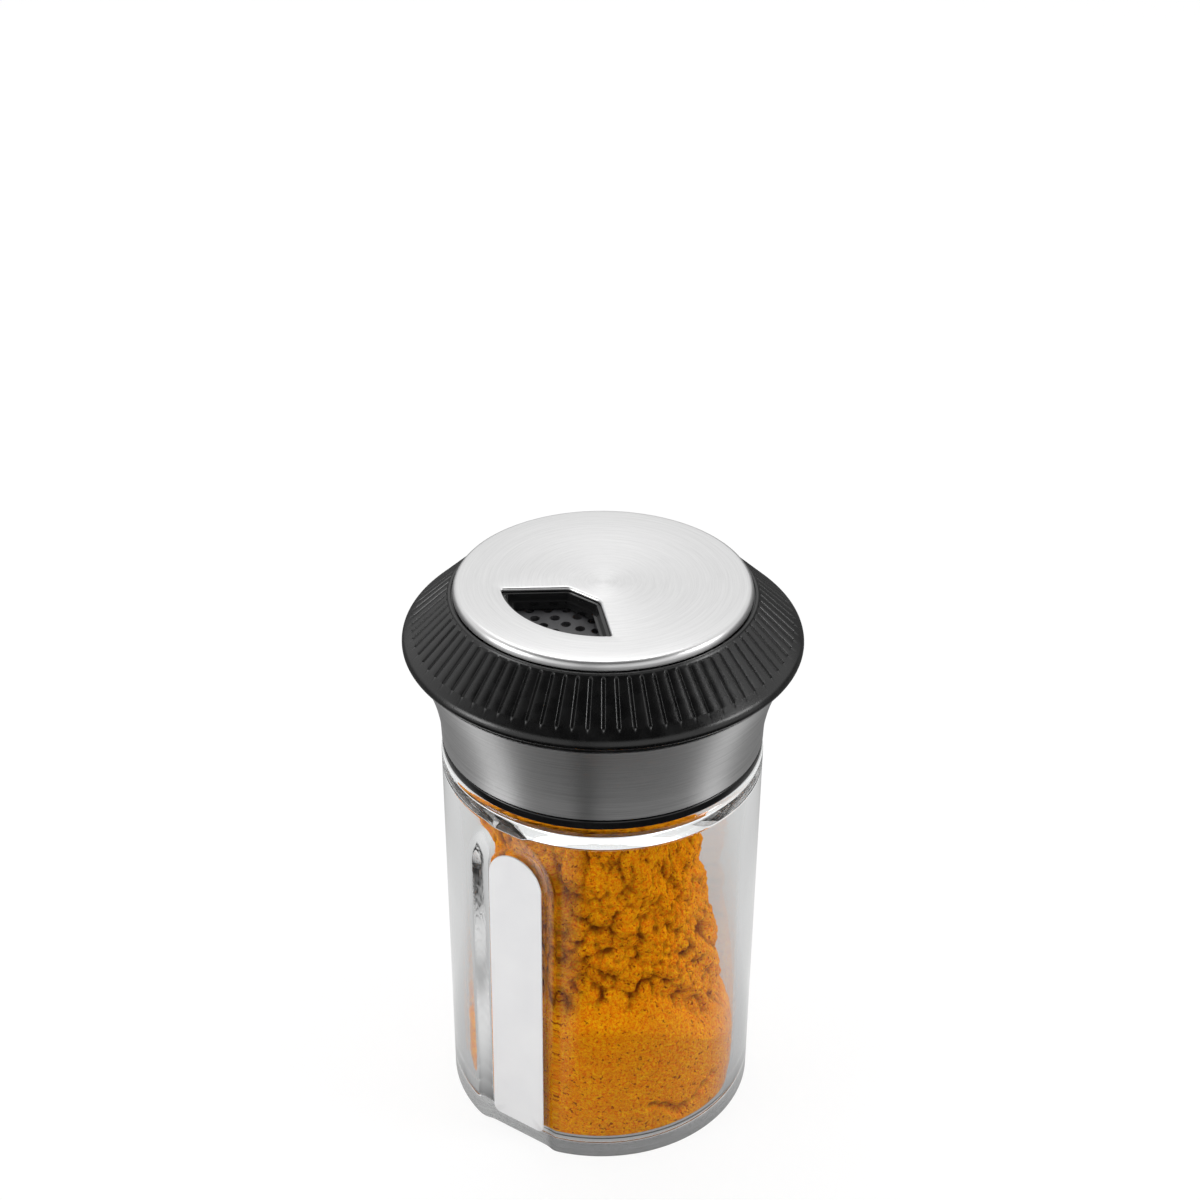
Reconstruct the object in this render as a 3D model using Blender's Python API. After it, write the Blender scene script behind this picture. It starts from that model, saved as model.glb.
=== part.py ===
"""Spice shaker: a glass jar of powder with a screw lid, whose dial opens a sieve or a pouring hole.

Metres, +Z up. The origin is the middle of the base, the label faces -Y, and every joint turns or
slides on the Z axis. Run it with blender --background --python part.py, or from the text editor.
"""
import bpy
import bmesh
import numpy as np
from math import acos, atan2, ceil, cos, hypot, pi, radians, sin, sqrt, tan
from mathutils import Matrix, Vector

# Fits and counts shared by the whole part
GAP = 0.0003
OVERRUN = 0.004
WELD = 0.000001
TURNED_STEPS = 60
SMALL_STEPS = 24
HOLE_STEPS = 12
SHARP_ANGLE = radians(30)

# Jar: outer wall, base and neck
WALL_RADIUS = 0.02876
WALL_DRAFT = 0.0006
SHOULDER_HEIGHT = 0.07513
SHOULDER_ROUND = 0.0009
BASE_ROUND = 0.0008
FOOT_RECESS = 0.0009
FOOT_WIDTH = 0.007
FLOOR_THICKNESS = 0.0021
FLOOR_ROUND = 0.0009
NECK_HEIGHT = 0.01087
NECK_WALL = 0.0026
NECK_ROUND = 0.0006
WALL_THICKNESS = 0.00336
INNER_SHOULDER_DROP = 0.0055
INNER_SHOULDER_RISE = 0.0016

# Label and the arched recess that it lies in
LABEL_WIDTH = 0.0113
LABEL_FOOT = 0.0031
LABEL_TOP = 0.0643
LABEL_THICKNESS = 0.0003
LABEL_CORNER = 0.0013
LABEL_GLUE = 0.00025
RECESS_DEPTH = 0.00271
RECESS_MARGIN = 0.0008
RECESS_FLARE = 2.6
RECESS_BACK_WALL = 0.00155
PAD_MARGIN = 0.0009
PAD_FLARE = 2.2
PAD_SINK = 0.0015
ARCH_STEPS = 16

# Powder
POWDER_FILL_SHARE = 0.92
POWDER_SLIP_SHARE = 0.14
POWDER_SLIP_START_SHARE = 0.55
POWDER_SLIP_AZIMUTH = radians(28)
POWDER_SETBACK = 0.003
POWDER_LUMP_HEIGHT = 0.001
POWDER_PACKED_SHARE = 0.2
POWDER_PACKED_RISE_SHARE = 0.18
POWDER_PACKED_FADE_SHARE = 0.12
POWDER_PACKED_AZIMUTH = radians(-55)
POWDER_FOOT_SHARE = 0.012
POWDER_STEPS = 96
POWDER_RINGS = 6
POWDER_LEVELS = 16
# Waves round the jar, waves up it, and the share of the lumps' height
POWDER_LUMP_SHARES = ((13, 5, 0.4), (17, -3, 0.35), (7, 8, 0.25))

# Screw thread between the neck and the collar
THREAD_LEAD = 0.004
THREAD_HEIGHT = 0.001
THREAD_CREST = 0.0008
THREAD_ROOT = 0.0018
THREAD_SINK = 0.0002
THREAD_CLEARANCE = 0.0003
THREAD_TURNS_ON_NECK = 1.5
THREAD_TURNS_IN_COLLAR = 1.25
THREAD_STEPS_PER_TURN = 36
THREAD_START = 0.0022
THREAD_BITE_SHARE = 0.4

# Steel band round the lid
BAND_SETBACK = 0.00011
BAND_TOP_SETBACK = 0.00025
BAND_THICKNESS = 0.0005
BAND_HEIGHT = 0.01675
BAND_FLARE_SHARES = (
    (0, 0), (0.12, 0.016), (0.24, 0.051), (0.36, 0.136), (0.48, 0.231), (0.6, 0.358), (0.75, 0.551),
    (0.88, 0.776), (1, 1),
)

# Collar: threaded inner lid that carries the band, the seal and the sieve plate
COLLAR_RIM_SETBACK = 0.0016
COLLAR_RIM_THICKNESS = 0.0009
SHELL_WALL = 0.00135
SPIGOT_WALL = 0.0007
WEB_THICKNESS = 0.0016
SEAL_THICKNESS = 0.0014
SEAL_OVERHANG = 0.0003
DRUM_WALL = 0.0012
DRUM_RIM = 0.001
DRUM_LEDGE_WIDTH = 0.0017
DRUM_LEDGE_THICKNESS = 0.0012
DRUM_RUN = 0.0006

# Foot ring: black ring clipped on the collar's foot, which holds the band up against the rim
FOOT_RING_SETBACK = 0.00021
FOOT_RING_HEIGHT = 0.00177

# Sieve plate
SIEVE_THICKNESS = 0.0013
SIEVE_HOLE_RADIUS = 0.00088
SIEVE_FIRST_ROW = 0.00705
SIEVE_ROW_STEP = 0.00305
SIEVE_ROWS = 3
SIEVE_FIRST_ROW_HOLES = 3
SIEVE_FIRST_ROW_ANGLE = radians(24)
SIEVE_SKIRT_WALL = 0.001
SIEVE_SKIRT_HEIGHT = 0.0026
SIEVE_BEAD = 0.0006
SIEVE_BEAD_HEIGHT = 0.0008
POUR_INSET = 0.0022
POUR_AZIMUTH = radians(120)

# Dial: grip ring, steel disc with its window, and the carrier under it
DISC_RADIUS = 0.026
DISC_HEIGHT = 0.0017
DISC_THICKNESS = 0.0005
DISC_ROUND = 0.0011
RING_RADIUS = 0.035
RING_HEIGHT = 0.00985
RING_FOOT_INSET = 0.0009
RING_WIDEST_HEIGHT = 0.00096
RING_BULGE = 0.00177
RING_WALL = 0.0022
RING_LIP_DEPTH = 0.0003
RING_LIP_WIDTH = 0.0006
RING_FOOT_WIDTH = 0.0022
GROOVE_COUNT = 81
GROOVE_WIDTH = 0.0006
GROOVE_DEPTH = 0.0004
GROOVE_START_SHARE = 0.05
GROOVE_END_SHARE = 0.83
GROOVE_PHASE = radians(-1.19)
CARRIER_THICKNESS = 0.0027
CARRIER_PLATE = 0.0012
CARRIER_RIM = 0.0015
CARRIER_POCKETS = 5
CARRIER_RIB_ANGLE = radians(4)
CARRIER_POCKET_CLEARANCE = radians(66)
CARRIER_POCKET_START = 0.0065
CARRIER_STEP_DEPTH = 0.0012
CARRIER_STEP_INSET = 0.0006
CARRIER_OPENING_INSET = 0.0014
WINDOW_AZIMUTH = radians(-93.6)
WINDOW_OUTER_RADIUS = 0.0178
WINDOW_INNER_EDGE = 0.00515
WINDOW_INNER_HALF_WIDTH = 0.0034
WINDOW_SIDE_ANGLE = radians(48.4)
WINDOW_CORNER = 0.0008
WINDOW_ARC_STEPS = 12
CORNER_STEPS = 4

# Pivot screw, washer and wave spring under the sieve plate
HUB_RADIUS = 0.0034
HUB_DROP = 0.0013
SCREW_RADIUS = 0.0015
SCREW_LENGTH = 0.0058
SCREW_HEAD_RADIUS = 0.003
SCREW_HEAD_HEIGHT = 0.0019
SCREW_HEAD_ROUND = 0.0006
SCREW_SLOT_WIDTH = 0.0008
SCREW_SLOT_LENGTH = 0.0036
SCREW_SLOT_DEPTH = 0.001
WASHER_RADIUS = 0.006
WASHER_THICKNESS = 0.0008
SPRING_THICKNESS = 0.0003
SPRING_WIDTH = 0.0017
SPRING_WAVES = 3
SPRING_STEPS = 36

# Heights that follow, from the base to the top disc
NECK_TOP = SHOULDER_HEIGHT + NECK_HEIGHT
FOOT_RING_FOOT = SHOULDER_HEIGHT + GAP
FOOT_RING_TOP = FOOT_RING_FOOT + FOOT_RING_HEIGHT
BAND_FOOT = FOOT_RING_TOP + GAP
BAND_TOP = BAND_FOOT + BAND_HEIGHT
COLLAR_RIM_FOOT = BAND_TOP + GAP
COLLAR_RIM_TOP = COLLAR_RIM_FOOT + COLLAR_RIM_THICKNESS
SEAL_FOOT = NECK_TOP + GAP
SEAL_TOP = SEAL_FOOT + SEAL_THICKNESS
WEB_FOOT = SEAL_TOP + GAP
WEB_TOP = WEB_FOOT + WEB_THICKNESS
RING_FOOT = COLLAR_RIM_TOP + GAP
RING_TOP = RING_FOOT + RING_HEIGHT
RING_LEDGE = RING_TOP - RING_LIP_DEPTH
DISC_FOOT = RING_LEDGE + GAP
DISC_TOP = DISC_FOOT + DISC_HEIGHT
CARRIER_TOP = DISC_TOP - DISC_THICKNESS - GAP
CARRIER_FOOT = CARRIER_TOP - CARRIER_THICKNESS
SIEVE_TOP = CARRIER_FOOT - GAP
SIEVE_FOOT = SIEVE_TOP - SIEVE_THICKNESS
DRUM_LEDGE_TOP = SIEVE_FOOT - GAP
DRUM_LEDGE_FOOT = DRUM_LEDGE_TOP - DRUM_LEDGE_THICKNESS
HUB_FOOT = SIEVE_FOOT - HUB_DROP
WASHER_TOP = HUB_FOOT - GAP
SCREW_HEAD_TOP = WASHER_TOP - WASHER_THICKNESS - GAP

# Radii that follow, from the glass wall inwards and from the disc inwards
BAND_RADIUS = WALL_RADIUS - BAND_SETBACK
COLLAR_RIM_RADIUS = RING_RADIUS - COLLAR_RIM_SETBACK
BAND_FLARE = COLLAR_RIM_RADIUS - BAND_TOP_SETBACK - BAND_RADIUS
COLLAR_BORE = BAND_RADIUS - BAND_THICKNESS - GAP - SHELL_WALL
SPIGOT_RADIUS = COLLAR_BORE + SPIGOT_WALL
NECK_RADIUS = COLLAR_BORE - THREAD_CLEARANCE - THREAD_HEIGHT
NECK_BORE = NECK_RADIUS - NECK_WALL
RECESS_FLOOR = WALL_RADIUS - RECESS_DEPTH
INNER_RADIUS = WALL_RADIUS - WALL_THICKNESS
PAD_REACH = RECESS_FLOOR - RECESS_BACK_WALL
PAD_HALF = LABEL_WIDTH / 2 + PAD_MARGIN
ARCH_CENTRE = LABEL_TOP - LABEL_WIDTH / 2
RING_BORE = DISC_RADIUS - DISC_THICKNESS
CARRIER_RADIUS = RING_BORE - GAP
DRUM_RADIUS = RING_BORE - DRUM_RUN
SIEVE_RADIUS = DRUM_RADIUS - DRUM_RIM - GAP
DRUM_LEDGE_BORE = SIEVE_RADIUS - DRUM_LEDGE_WIDTH
SIEVE_SKIRT_RADIUS = DRUM_LEDGE_BORE - GAP
HUB_HOLE_RADIUS = HUB_RADIUS + GAP


def clear_scene():
    """Remove every object, so that the script can be run again in the same file."""
    for old in list(bpy.data.objects):
        bpy.data.objects.remove(old, do_unlink=True)


def material(name, colour, roughness, metallic=0.0, transmission=0.0):
    """A plain Principled material with the colour that the piece has."""
    made = bpy.data.materials.new(name)
    made.use_nodes = True
    shader = made.node_tree.nodes["Principled BSDF"]
    shader.inputs["Base Color"].default_value = (*colour, 1.0)
    shader.inputs["Roughness"].default_value = roughness
    shader.inputs["Metallic"].default_value = metallic
    shader.inputs["Transmission Weight"].default_value = transmission
    made.diffuse_color = (*colour, 1.0)
    return made


def add_object(name, mesh_source, surface, parent=None):
    """Turn a bmesh into a smooth-shaded object with sharp edges kept."""
    bmesh.ops.recalc_face_normals(mesh_source, faces=mesh_source.faces)
    mesh = bpy.data.meshes.new(name)
    mesh_source.to_mesh(mesh)
    mesh_source.free()
    mesh.shade_smooth()
    mesh.set_sharp_from_angle(angle=SHARP_ANGLE)
    if surface is not None:
        mesh.materials.append(surface)
    made = bpy.data.objects.new(name, mesh)
    bpy.context.scene.collection.objects.link(made)
    made.parent = parent
    return made


def add_axis(name, parent=None, turn=0.0):
    """An empty on the Z axis, about which the pieces under it move."""
    axis = bpy.data.objects.new(name, None)
    axis.empty_display_type = "SINGLE_ARROW"
    axis.empty_display_size = WALL_RADIUS
    axis.rotation_euler.z = turn
    axis.parent = parent
    bpy.context.scene.collection.objects.link(axis)
    return axis


def boolean(target, tool, operation="DIFFERENCE"):
    """Cut a guide object out of the target, or join it on, and keep the guide as a wire."""
    tool.hide_render = True
    tool.display_type = "WIRE"
    step = target.modifiers.new(tool.name, "BOOLEAN")
    step.operation = operation
    step.solver = "EXACT"
    step.object = tool


def turned(outline, steps=TURNED_STEPS):
    """Spin an outline of (radius, height) points about Z: closed, or open with both ends on the axis."""
    body = bmesh.new()
    points = [body.verts.new((radius, 0, height)) for radius, height in outline]
    pairs = list(zip(points, points[1:]))
    if outline[0][0] > 0 or outline[-1][0] > 0:
        pairs.append((points[-1], points[0]))
    edges = [body.edges.new(pair) for pair in pairs]
    bmesh.ops.spin(body, geom=points + edges, axis=(0, 0, 1), cent=(0, 0, 0), angle=2 * pi, steps=steps)
    bmesh.ops.remove_doubles(body, verts=body.verts, dist=WELD)
    return body


def bridge(body, rings, closed_round=True):
    """Join neighbouring rings of vertices with quads and cap the first and the last ring."""
    count = len(rings[0])
    for near, far in zip(rings, rings[1:]):
        for i in range(count if closed_round else count - 1):
            j = (i + 1) % count
            body.faces.new((near[i], near[j], far[j], far[i]))
    body.faces.new(list(reversed(rings[0])))
    body.faces.new(rings[-1])


def prism(outline, foot, top):
    """Extrude a flat outline of (x, y) points from one height to another."""
    body = bmesh.new()
    rings = [[body.verts.new((x, y, height)) for x, y in outline] for height in (foot, top)]
    bridge(body, rings)
    return body


def window_outline(inset, outer_inset):
    """The dial's window with its bisector along +X: a straight inner edge, two straight sides
    and an outer arc about the axis, each set in, with round corners."""
    corner = WINDOW_CORNER
    outer = WINDOW_OUTER_RADIUS - outer_inset
    edge = WINDOW_INNER_EDGE + inset
    side = Vector((cos(WINDOW_SIDE_ANGLE), sin(WINDOW_SIDE_ANGLE)))
    inward = Vector((side.y, -side.x))
    start = Vector((WINDOW_INNER_EDGE, WINDOW_INNER_HALF_WIDTH)) + inward * inset
    inner_corner = start + side * (edge - start.x) / side.x
    # The corner circle touches the side line and the outer arc from inside
    line = start + inward * corner
    reach = outer - corner
    along = line.dot(side)
    middle = line + side * (sqrt(reach ** 2 - line.length_squared + along ** 2) - along)
    arc_end = atan2(middle.y, middle.x)
    half = []
    for k in range(WINDOW_ARC_STEPS + 1):
        angle = arc_end * k / WINDOW_ARC_STEPS
        half.append((outer * cos(angle), outer * sin(angle)))
    turn = atan2(-inward.y, -inward.x) - arc_end
    for k in range(1, CORNER_STEPS + 1):
        angle = arc_end + turn * k / CORNER_STEPS
        half.append((middle.x + corner * cos(angle), middle.y + corner * sin(angle)))
    bend = (pi - (pi / 2 + WINDOW_SIDE_ANGLE)) / 2
    shift = corner * tan(bend)
    touch = inner_corner + side * shift
    centre = touch + inward * corner
    for k in range(CORNER_STEPS + 1):
        angle = atan2(-inward.y, -inward.x) + 2 * bend * k / CORNER_STEPS
        half.append((centre.x + corner * cos(angle), centre.y + corner * sin(angle)))
    mirrored = [(x, -y) for x, y in reversed(half[1:])]
    return half + mirrored


def inner_wall_outline():
    """The jar's inside from the middle of the floor up to the rim."""
    floor = FOOT_RECESS + FLOOR_THICKNESS
    round_share = sin(pi / 4)
    outline = [(0, floor), (INNER_RADIUS - FLOOR_ROUND, floor)]
    outline.append((INNER_RADIUS - FLOOR_ROUND * (1 - round_share), floor + FLOOR_ROUND * (1 - round_share)))
    outline.append((INNER_RADIUS, floor + FLOOR_ROUND))
    outline.append((INNER_RADIUS, SHOULDER_HEIGHT - INNER_SHOULDER_DROP))
    outline.append((NECK_BORE, SHOULDER_HEIGHT - INNER_SHOULDER_DROP + INNER_SHOULDER_RISE))
    outline.append((NECK_BORE, NECK_TOP - NECK_ROUND))
    return outline


def inner_radius_at(height):
    """Radius of the jar's inside at a height over the floor."""
    wall = inner_wall_outline()[1:]
    return float(np.interp(height, [z for r, z in wall], [r for r, z in wall]))


def thread_rib(root_radius, crest_radius, first_height, turns):
    """A right-hand helical rib of trapezoid section, whose foot is sunk into the wall that carries it."""
    body = bmesh.new()
    steps = ceil(turns * THREAD_STEPS_PER_TURN)
    sink = THREAD_SINK if crest_radius < root_radius else -THREAD_SINK
    section = (
        (root_radius + sink, -THREAD_ROOT / 2),
        (crest_radius, -THREAD_CREST / 2),
        (crest_radius, THREAD_CREST / 2),
        (root_radius + sink, THREAD_ROOT / 2),
    )
    rings = []
    for k in range(steps + 1):
        angle = 2 * pi * turns * k / steps
        rise = first_height + THREAD_LEAD * turns * k / steps
        rings.append([body.verts.new((r * cos(angle), r * sin(angle), rise + h)) for r, h in section])
    bridge(body, rings)
    return body


def arch_outline(half_width, centre_height, foot):
    """An upright arch in (across, height): straight sides down to the foot and a half circle on top."""
    outline = [(-half_width, foot)]
    for k in range(ARCH_STEPS + 1):
        angle = pi - pi * k / ARCH_STEPS
        outline.append((half_width * cos(angle), centre_height + half_width * sin(angle)))
    outline.append((half_width, foot))
    return outline


def recess_cutter():
    """The label's recess: a flat arched floor whose rim slopes outwards, open at the jar's base."""
    half = LABEL_WIDTH / 2 + RECESS_MARGIN
    out = RECESS_DEPTH + OVERRUN
    body = bmesh.new()
    rings = []
    for reach, width in ((RECESS_FLOOR, half), (RECESS_FLOOR + out, half + RECESS_FLARE * out)):
        outline = arch_outline(width, ARCH_CENTRE, -OVERRUN)
        rings.append([body.verts.new((across, -reach, height)) for across, height in outline])
    bridge(body, rings)
    return body


def inner_pad():
    """The flat that the recess leaves on the inside of the wall: an arch whose rim slopes back to it,
    sunk into the glass."""
    body = bmesh.new()
    rings = []
    for reach, width in ((PAD_REACH, PAD_HALF), (PAD_REACH + PAD_SINK, PAD_HALF + PAD_FLARE * PAD_SINK)):
        outline = arch_outline(width, ARCH_CENTRE, FOOT_RECESS + FLOOR_THICKNESS / 2)
        rings.append([body.verts.new((across, -reach, height)) for across, height in outline])
    bridge(body, rings)
    return body


def pad_radius_at(angle, height):
    """How far from the axis the inside flat lets the powder come, in a direction and at a height."""
    forward = -sin(angle)
    if forward <= 0:
        return INNER_RADIUS
    outside = hypot(INNER_RADIUS * cos(angle), max(height - ARCH_CENTRE, 0)) - PAD_HALF
    return (PAD_REACH + max(outside, 0) / PAD_FLARE) / forward


def glass_jar(surface, parent):
    """Pressed glass jar: foot ring, straight wall with the label's recess, and a threaded neck."""
    share = sin(pi / 4)
    base = WALL_RADIUS - WALL_DRAFT
    foot = base - BASE_ROUND
    outline = inner_wall_outline()
    outline.append((NECK_BORE + NECK_ROUND, NECK_TOP))
    outline.append((NECK_RADIUS - NECK_ROUND, NECK_TOP))
    outline.append((NECK_RADIUS, NECK_TOP - NECK_ROUND))
    outline.append((NECK_RADIUS, SHOULDER_HEIGHT))
    outline.append((WALL_RADIUS - SHOULDER_ROUND, SHOULDER_HEIGHT))
    outline.append((WALL_RADIUS - SHOULDER_ROUND * (1 - share), SHOULDER_HEIGHT - SHOULDER_ROUND * (1 - share)))
    outline.append((WALL_RADIUS, SHOULDER_HEIGHT - SHOULDER_ROUND))
    outline.append((base, BASE_ROUND))
    outline.append((base - BASE_ROUND * (1 - share), BASE_ROUND * (1 - share)))
    outline.append((foot, 0))
    outline.append((foot - FOOT_WIDTH, 0))
    outline.append((foot - FOOT_WIDTH - FOOT_RECESS, FOOT_RECESS))
    outline.append((0, FOOT_RECESS))
    jar = add_object("glass_jar", turned(outline), surface, parent)
    rib = thread_rib(NECK_RADIUS, NECK_RADIUS + THREAD_HEIGHT, SHOULDER_HEIGHT + THREAD_START, THREAD_TURNS_ON_NECK)
    boolean(jar, add_object("neck_thread_guide", rib, None, parent), "UNION")
    boolean(jar, add_object("inner_pad_guide", inner_pad(), None, parent), "UNION")
    boolean(jar, add_object("recess_guide", recess_cutter(), None, parent))
    return jar


def label(surface, parent):
    """Writing label with an arched top and round lower corners, glued in the recess."""
    half = LABEL_WIDTH / 2
    back = RECESS_FLOOR + LABEL_GLUE
    arch = arch_outline(half, ARCH_CENTRE, LABEL_FOOT)[1:-1]
    outline = []
    for side in (1, -1):
        centre = side * (half - LABEL_CORNER)
        for k in range(CORNER_STEPS + 1):
            angle = (pi / 2) * k / CORNER_STEPS if side > 0 else pi / 2 - (pi / 2) * k / CORNER_STEPS
            across = centre + side * LABEL_CORNER * cos(angle)
            outline.append((across, LABEL_FOOT + LABEL_CORNER * (1 - sin(angle))))
    body = bmesh.new()
    rings = []
    for reach in (back, back + LABEL_THICKNESS):
        rings.append([body.verts.new((across, -reach, height)) for across, height in arch + outline])
    bridge(body, rings)
    return add_object("label", body, surface, parent)


def powder_height(x_share, y_share):
    """Height of the powder's top: level, with a slip down one side of the jar."""
    floor = FOOT_RECESS + FLOOR_THICKNESS + GAP
    level = POWDER_FILL_SHARE * (SHOULDER_HEIGHT - floor)
    along = x_share * cos(POWDER_SLIP_AZIMUTH) + y_share * sin(POWDER_SLIP_AZIMUTH)
    slide = min(max((along - POWDER_SLIP_START_SHARE) / (1 - POWDER_SLIP_START_SHARE), 0), 1)
    return floor + level * (1 - POWDER_SLIP_SHARE * slide ** 2 * (3 - 2 * slide))


def powder_setback(angle, share):
    """How far the powder stands back from the glass: nothing low down, where it has packed tight, and
    in lumps above, which are the sum of a few waves that run round and up the jar."""
    packed = POWDER_PACKED_SHARE
    packed += POWDER_PACKED_RISE_SHARE * max(cos(angle - POWDER_PACKED_AZIMUTH), 0) ** 2
    free = min(max((share - packed) / POWDER_PACKED_FADE_SHARE, 0), 1)
    lump = 0
    for k, (waves_round, waves_up, lump_share) in enumerate(POWDER_LUMP_SHARES):
        lump += lump_share * cos(waves_round * angle + 2 * pi * waves_up * share + k)
    return (POWDER_SETBACK - POWDER_LUMP_HEIGHT * lump) * free ** 2 * (3 - 2 * free)


def spice_powder(surface, parent):
    """The powder as one solid: packed against the glass below, in lumps set back from it above."""
    floor = FOOT_RECESS + FLOOR_THICKNESS + GAP
    turns = [2 * pi * k / POWDER_STEPS for k in range(POWDER_STEPS)]
    levels = [POWDER_FOOT_SHARE] + [k / POWDER_LEVELS for k in range(1, POWDER_LEVELS + 1)]
    body = bmesh.new()
    rings = [[]]
    foot_radius = INNER_RADIUS - FLOOR_ROUND - GAP
    for angle in turns:
        rings[0].append(body.verts.new((foot_radius * cos(angle), foot_radius * sin(angle), floor)))
    for share in levels:
        ring = []
        for angle in turns:
            rise = (powder_height(cos(angle), sin(angle)) - floor) * share
            wall = min(inner_radius_at(floor + rise - GAP), pad_radius_at(angle, floor + rise))
            radius = wall - GAP - powder_setback(angle, share)
            ring.append(body.verts.new((radius * cos(angle), radius * sin(angle), floor + rise)))
        rings.append(ring)
    for k in range(1, POWDER_RINGS):
        share = 1 - k / POWDER_RINGS
        ring = []
        for rim, angle in zip(rings[len(levels)], turns):
            height = powder_height(share * cos(angle), share * sin(angle))
            ring.append(body.verts.new((rim.co.x * share, rim.co.y * share, height)))
        rings.append(ring)
    bridge(body, rings)
    return add_object("spice_powder", body, surface, parent)


def jar_seal(surface, parent):
    """Soft ring between the jar's rim and the collar's web."""
    inner = NECK_BORE + SEAL_OVERHANG
    outer = COLLAR_BORE - GAP
    outline = [(outer, SEAL_TOP), (outer, SEAL_FOOT), (inner, SEAL_FOOT), (inner, SEAL_TOP)]
    return add_object("jar_seal", turned(outline), surface, parent)


def band_radius_at(height):
    """Outer radius of the steel band: nearly straight low down, then a growing flare."""
    share = (height - BAND_FOOT) / BAND_HEIGHT
    flare = np.interp(share, [s for s, _ in BAND_FLARE_SHARES], [f for _, f in BAND_FLARE_SHARES])
    return BAND_RADIUS + BAND_FLARE * float(flare)


def steel_band(surface, parent):
    """Thin steel sleeve round the collar."""
    heights = [BAND_FOOT + BAND_HEIGHT * share for share, _ in BAND_FLARE_SHARES]
    outside = [(band_radius_at(height), height) for height in reversed(heights)]
    inside = [(radius - BAND_THICKNESS, height) for radius, height in reversed(outside)]
    return add_object("steel_band", turned(outside + inside), surface, parent)


def lid_collar(surface, parent):
    """Threaded inner lid: rim over the band, shell inside it, web over the seal and drum for the sieve."""
    inset = BAND_THICKNESS + GAP
    heights = [BAND_FOOT + BAND_HEIGHT * share for share, _ in BAND_FLARE_SHARES]
    shell = [(band_radius_at(height) - inset, height) for height in reversed(heights)]
    shell[0] = (shell[0][0], COLLAR_RIM_FOOT)
    web_inside = band_radius_at(WEB_TOP) - inset - SHELL_WALL
    outline = [
        (COLLAR_RIM_RADIUS, COLLAR_RIM_TOP),
        (COLLAR_RIM_RADIUS, COLLAR_RIM_FOOT),
        *shell,
        (SPIGOT_RADIUS, BAND_FOOT),
        (SPIGOT_RADIUS, FOOT_RING_FOOT + GAP),
        (COLLAR_BORE, FOOT_RING_FOOT + GAP),
        (COLLAR_BORE, WEB_FOOT),
        (DRUM_RADIUS - DRUM_WALL, WEB_FOOT),
        (DRUM_RADIUS - DRUM_WALL, DRUM_LEDGE_FOOT),
        (DRUM_LEDGE_BORE, DRUM_LEDGE_FOOT),
        (DRUM_LEDGE_BORE, DRUM_LEDGE_TOP),
        (SIEVE_RADIUS + GAP, DRUM_LEDGE_TOP),
        (SIEVE_RADIUS + GAP, SIEVE_TOP),
        (DRUM_RADIUS, SIEVE_TOP),
        (DRUM_RADIUS, WEB_TOP),
        (web_inside, WEB_TOP),
        (shell[0][0] - SHELL_WALL, COLLAR_RIM_TOP),
    ]
    collar = add_object("lid_collar", turned(outline), surface, parent)
    bite = THREAD_LEAD * THREAD_BITE_SHARE
    first = SHOULDER_HEIGHT + THREAD_START + THREAD_LEAD * THREAD_TURNS_ON_NECK - bite
    first -= THREAD_LEAD * THREAD_TURNS_IN_COLLAR
    rib = thread_rib(COLLAR_BORE, COLLAR_BORE - THREAD_HEIGHT, first, THREAD_TURNS_IN_COLLAR)
    guide = add_object("collar_thread_guide", rib, None, parent)
    guide.rotation_euler.z = 2 * pi * (THREAD_TURNS_ON_NECK - THREAD_TURNS_IN_COLLAR)
    boolean(collar, guide, "UNION")
    return collar


def foot_ring(surface, parent):
    """Black ring between the glass shoulder and the band, clipped round the collar's spigot."""
    outer = WALL_RADIUS - FOOT_RING_SETBACK
    inner = SPIGOT_RADIUS + GAP
    outline = [(outer, FOOT_RING_TOP), (outer, FOOT_RING_FOOT), (inner, FOOT_RING_FOOT), (inner, FOOT_RING_TOP)]
    return add_object("foot_ring", turned(outline), surface, parent)


def sieve_holes():
    """Round holes in rows about the axis, each row two holes longer than the one inside it."""
    places = []
    for row in range(SIEVE_ROWS):
        radius = SIEVE_FIRST_ROW + SIEVE_ROW_STEP * row
        gaps = SIEVE_FIRST_ROW_HOLES - 1 + 2 * row
        step = SIEVE_FIRST_ROW_ANGLE * 2 / (2 + row)
        for k in range(gaps + 1):
            angle = step * (k - gaps / 2)
            places.append((radius * cos(angle), radius * sin(angle)))
    return places


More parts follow.
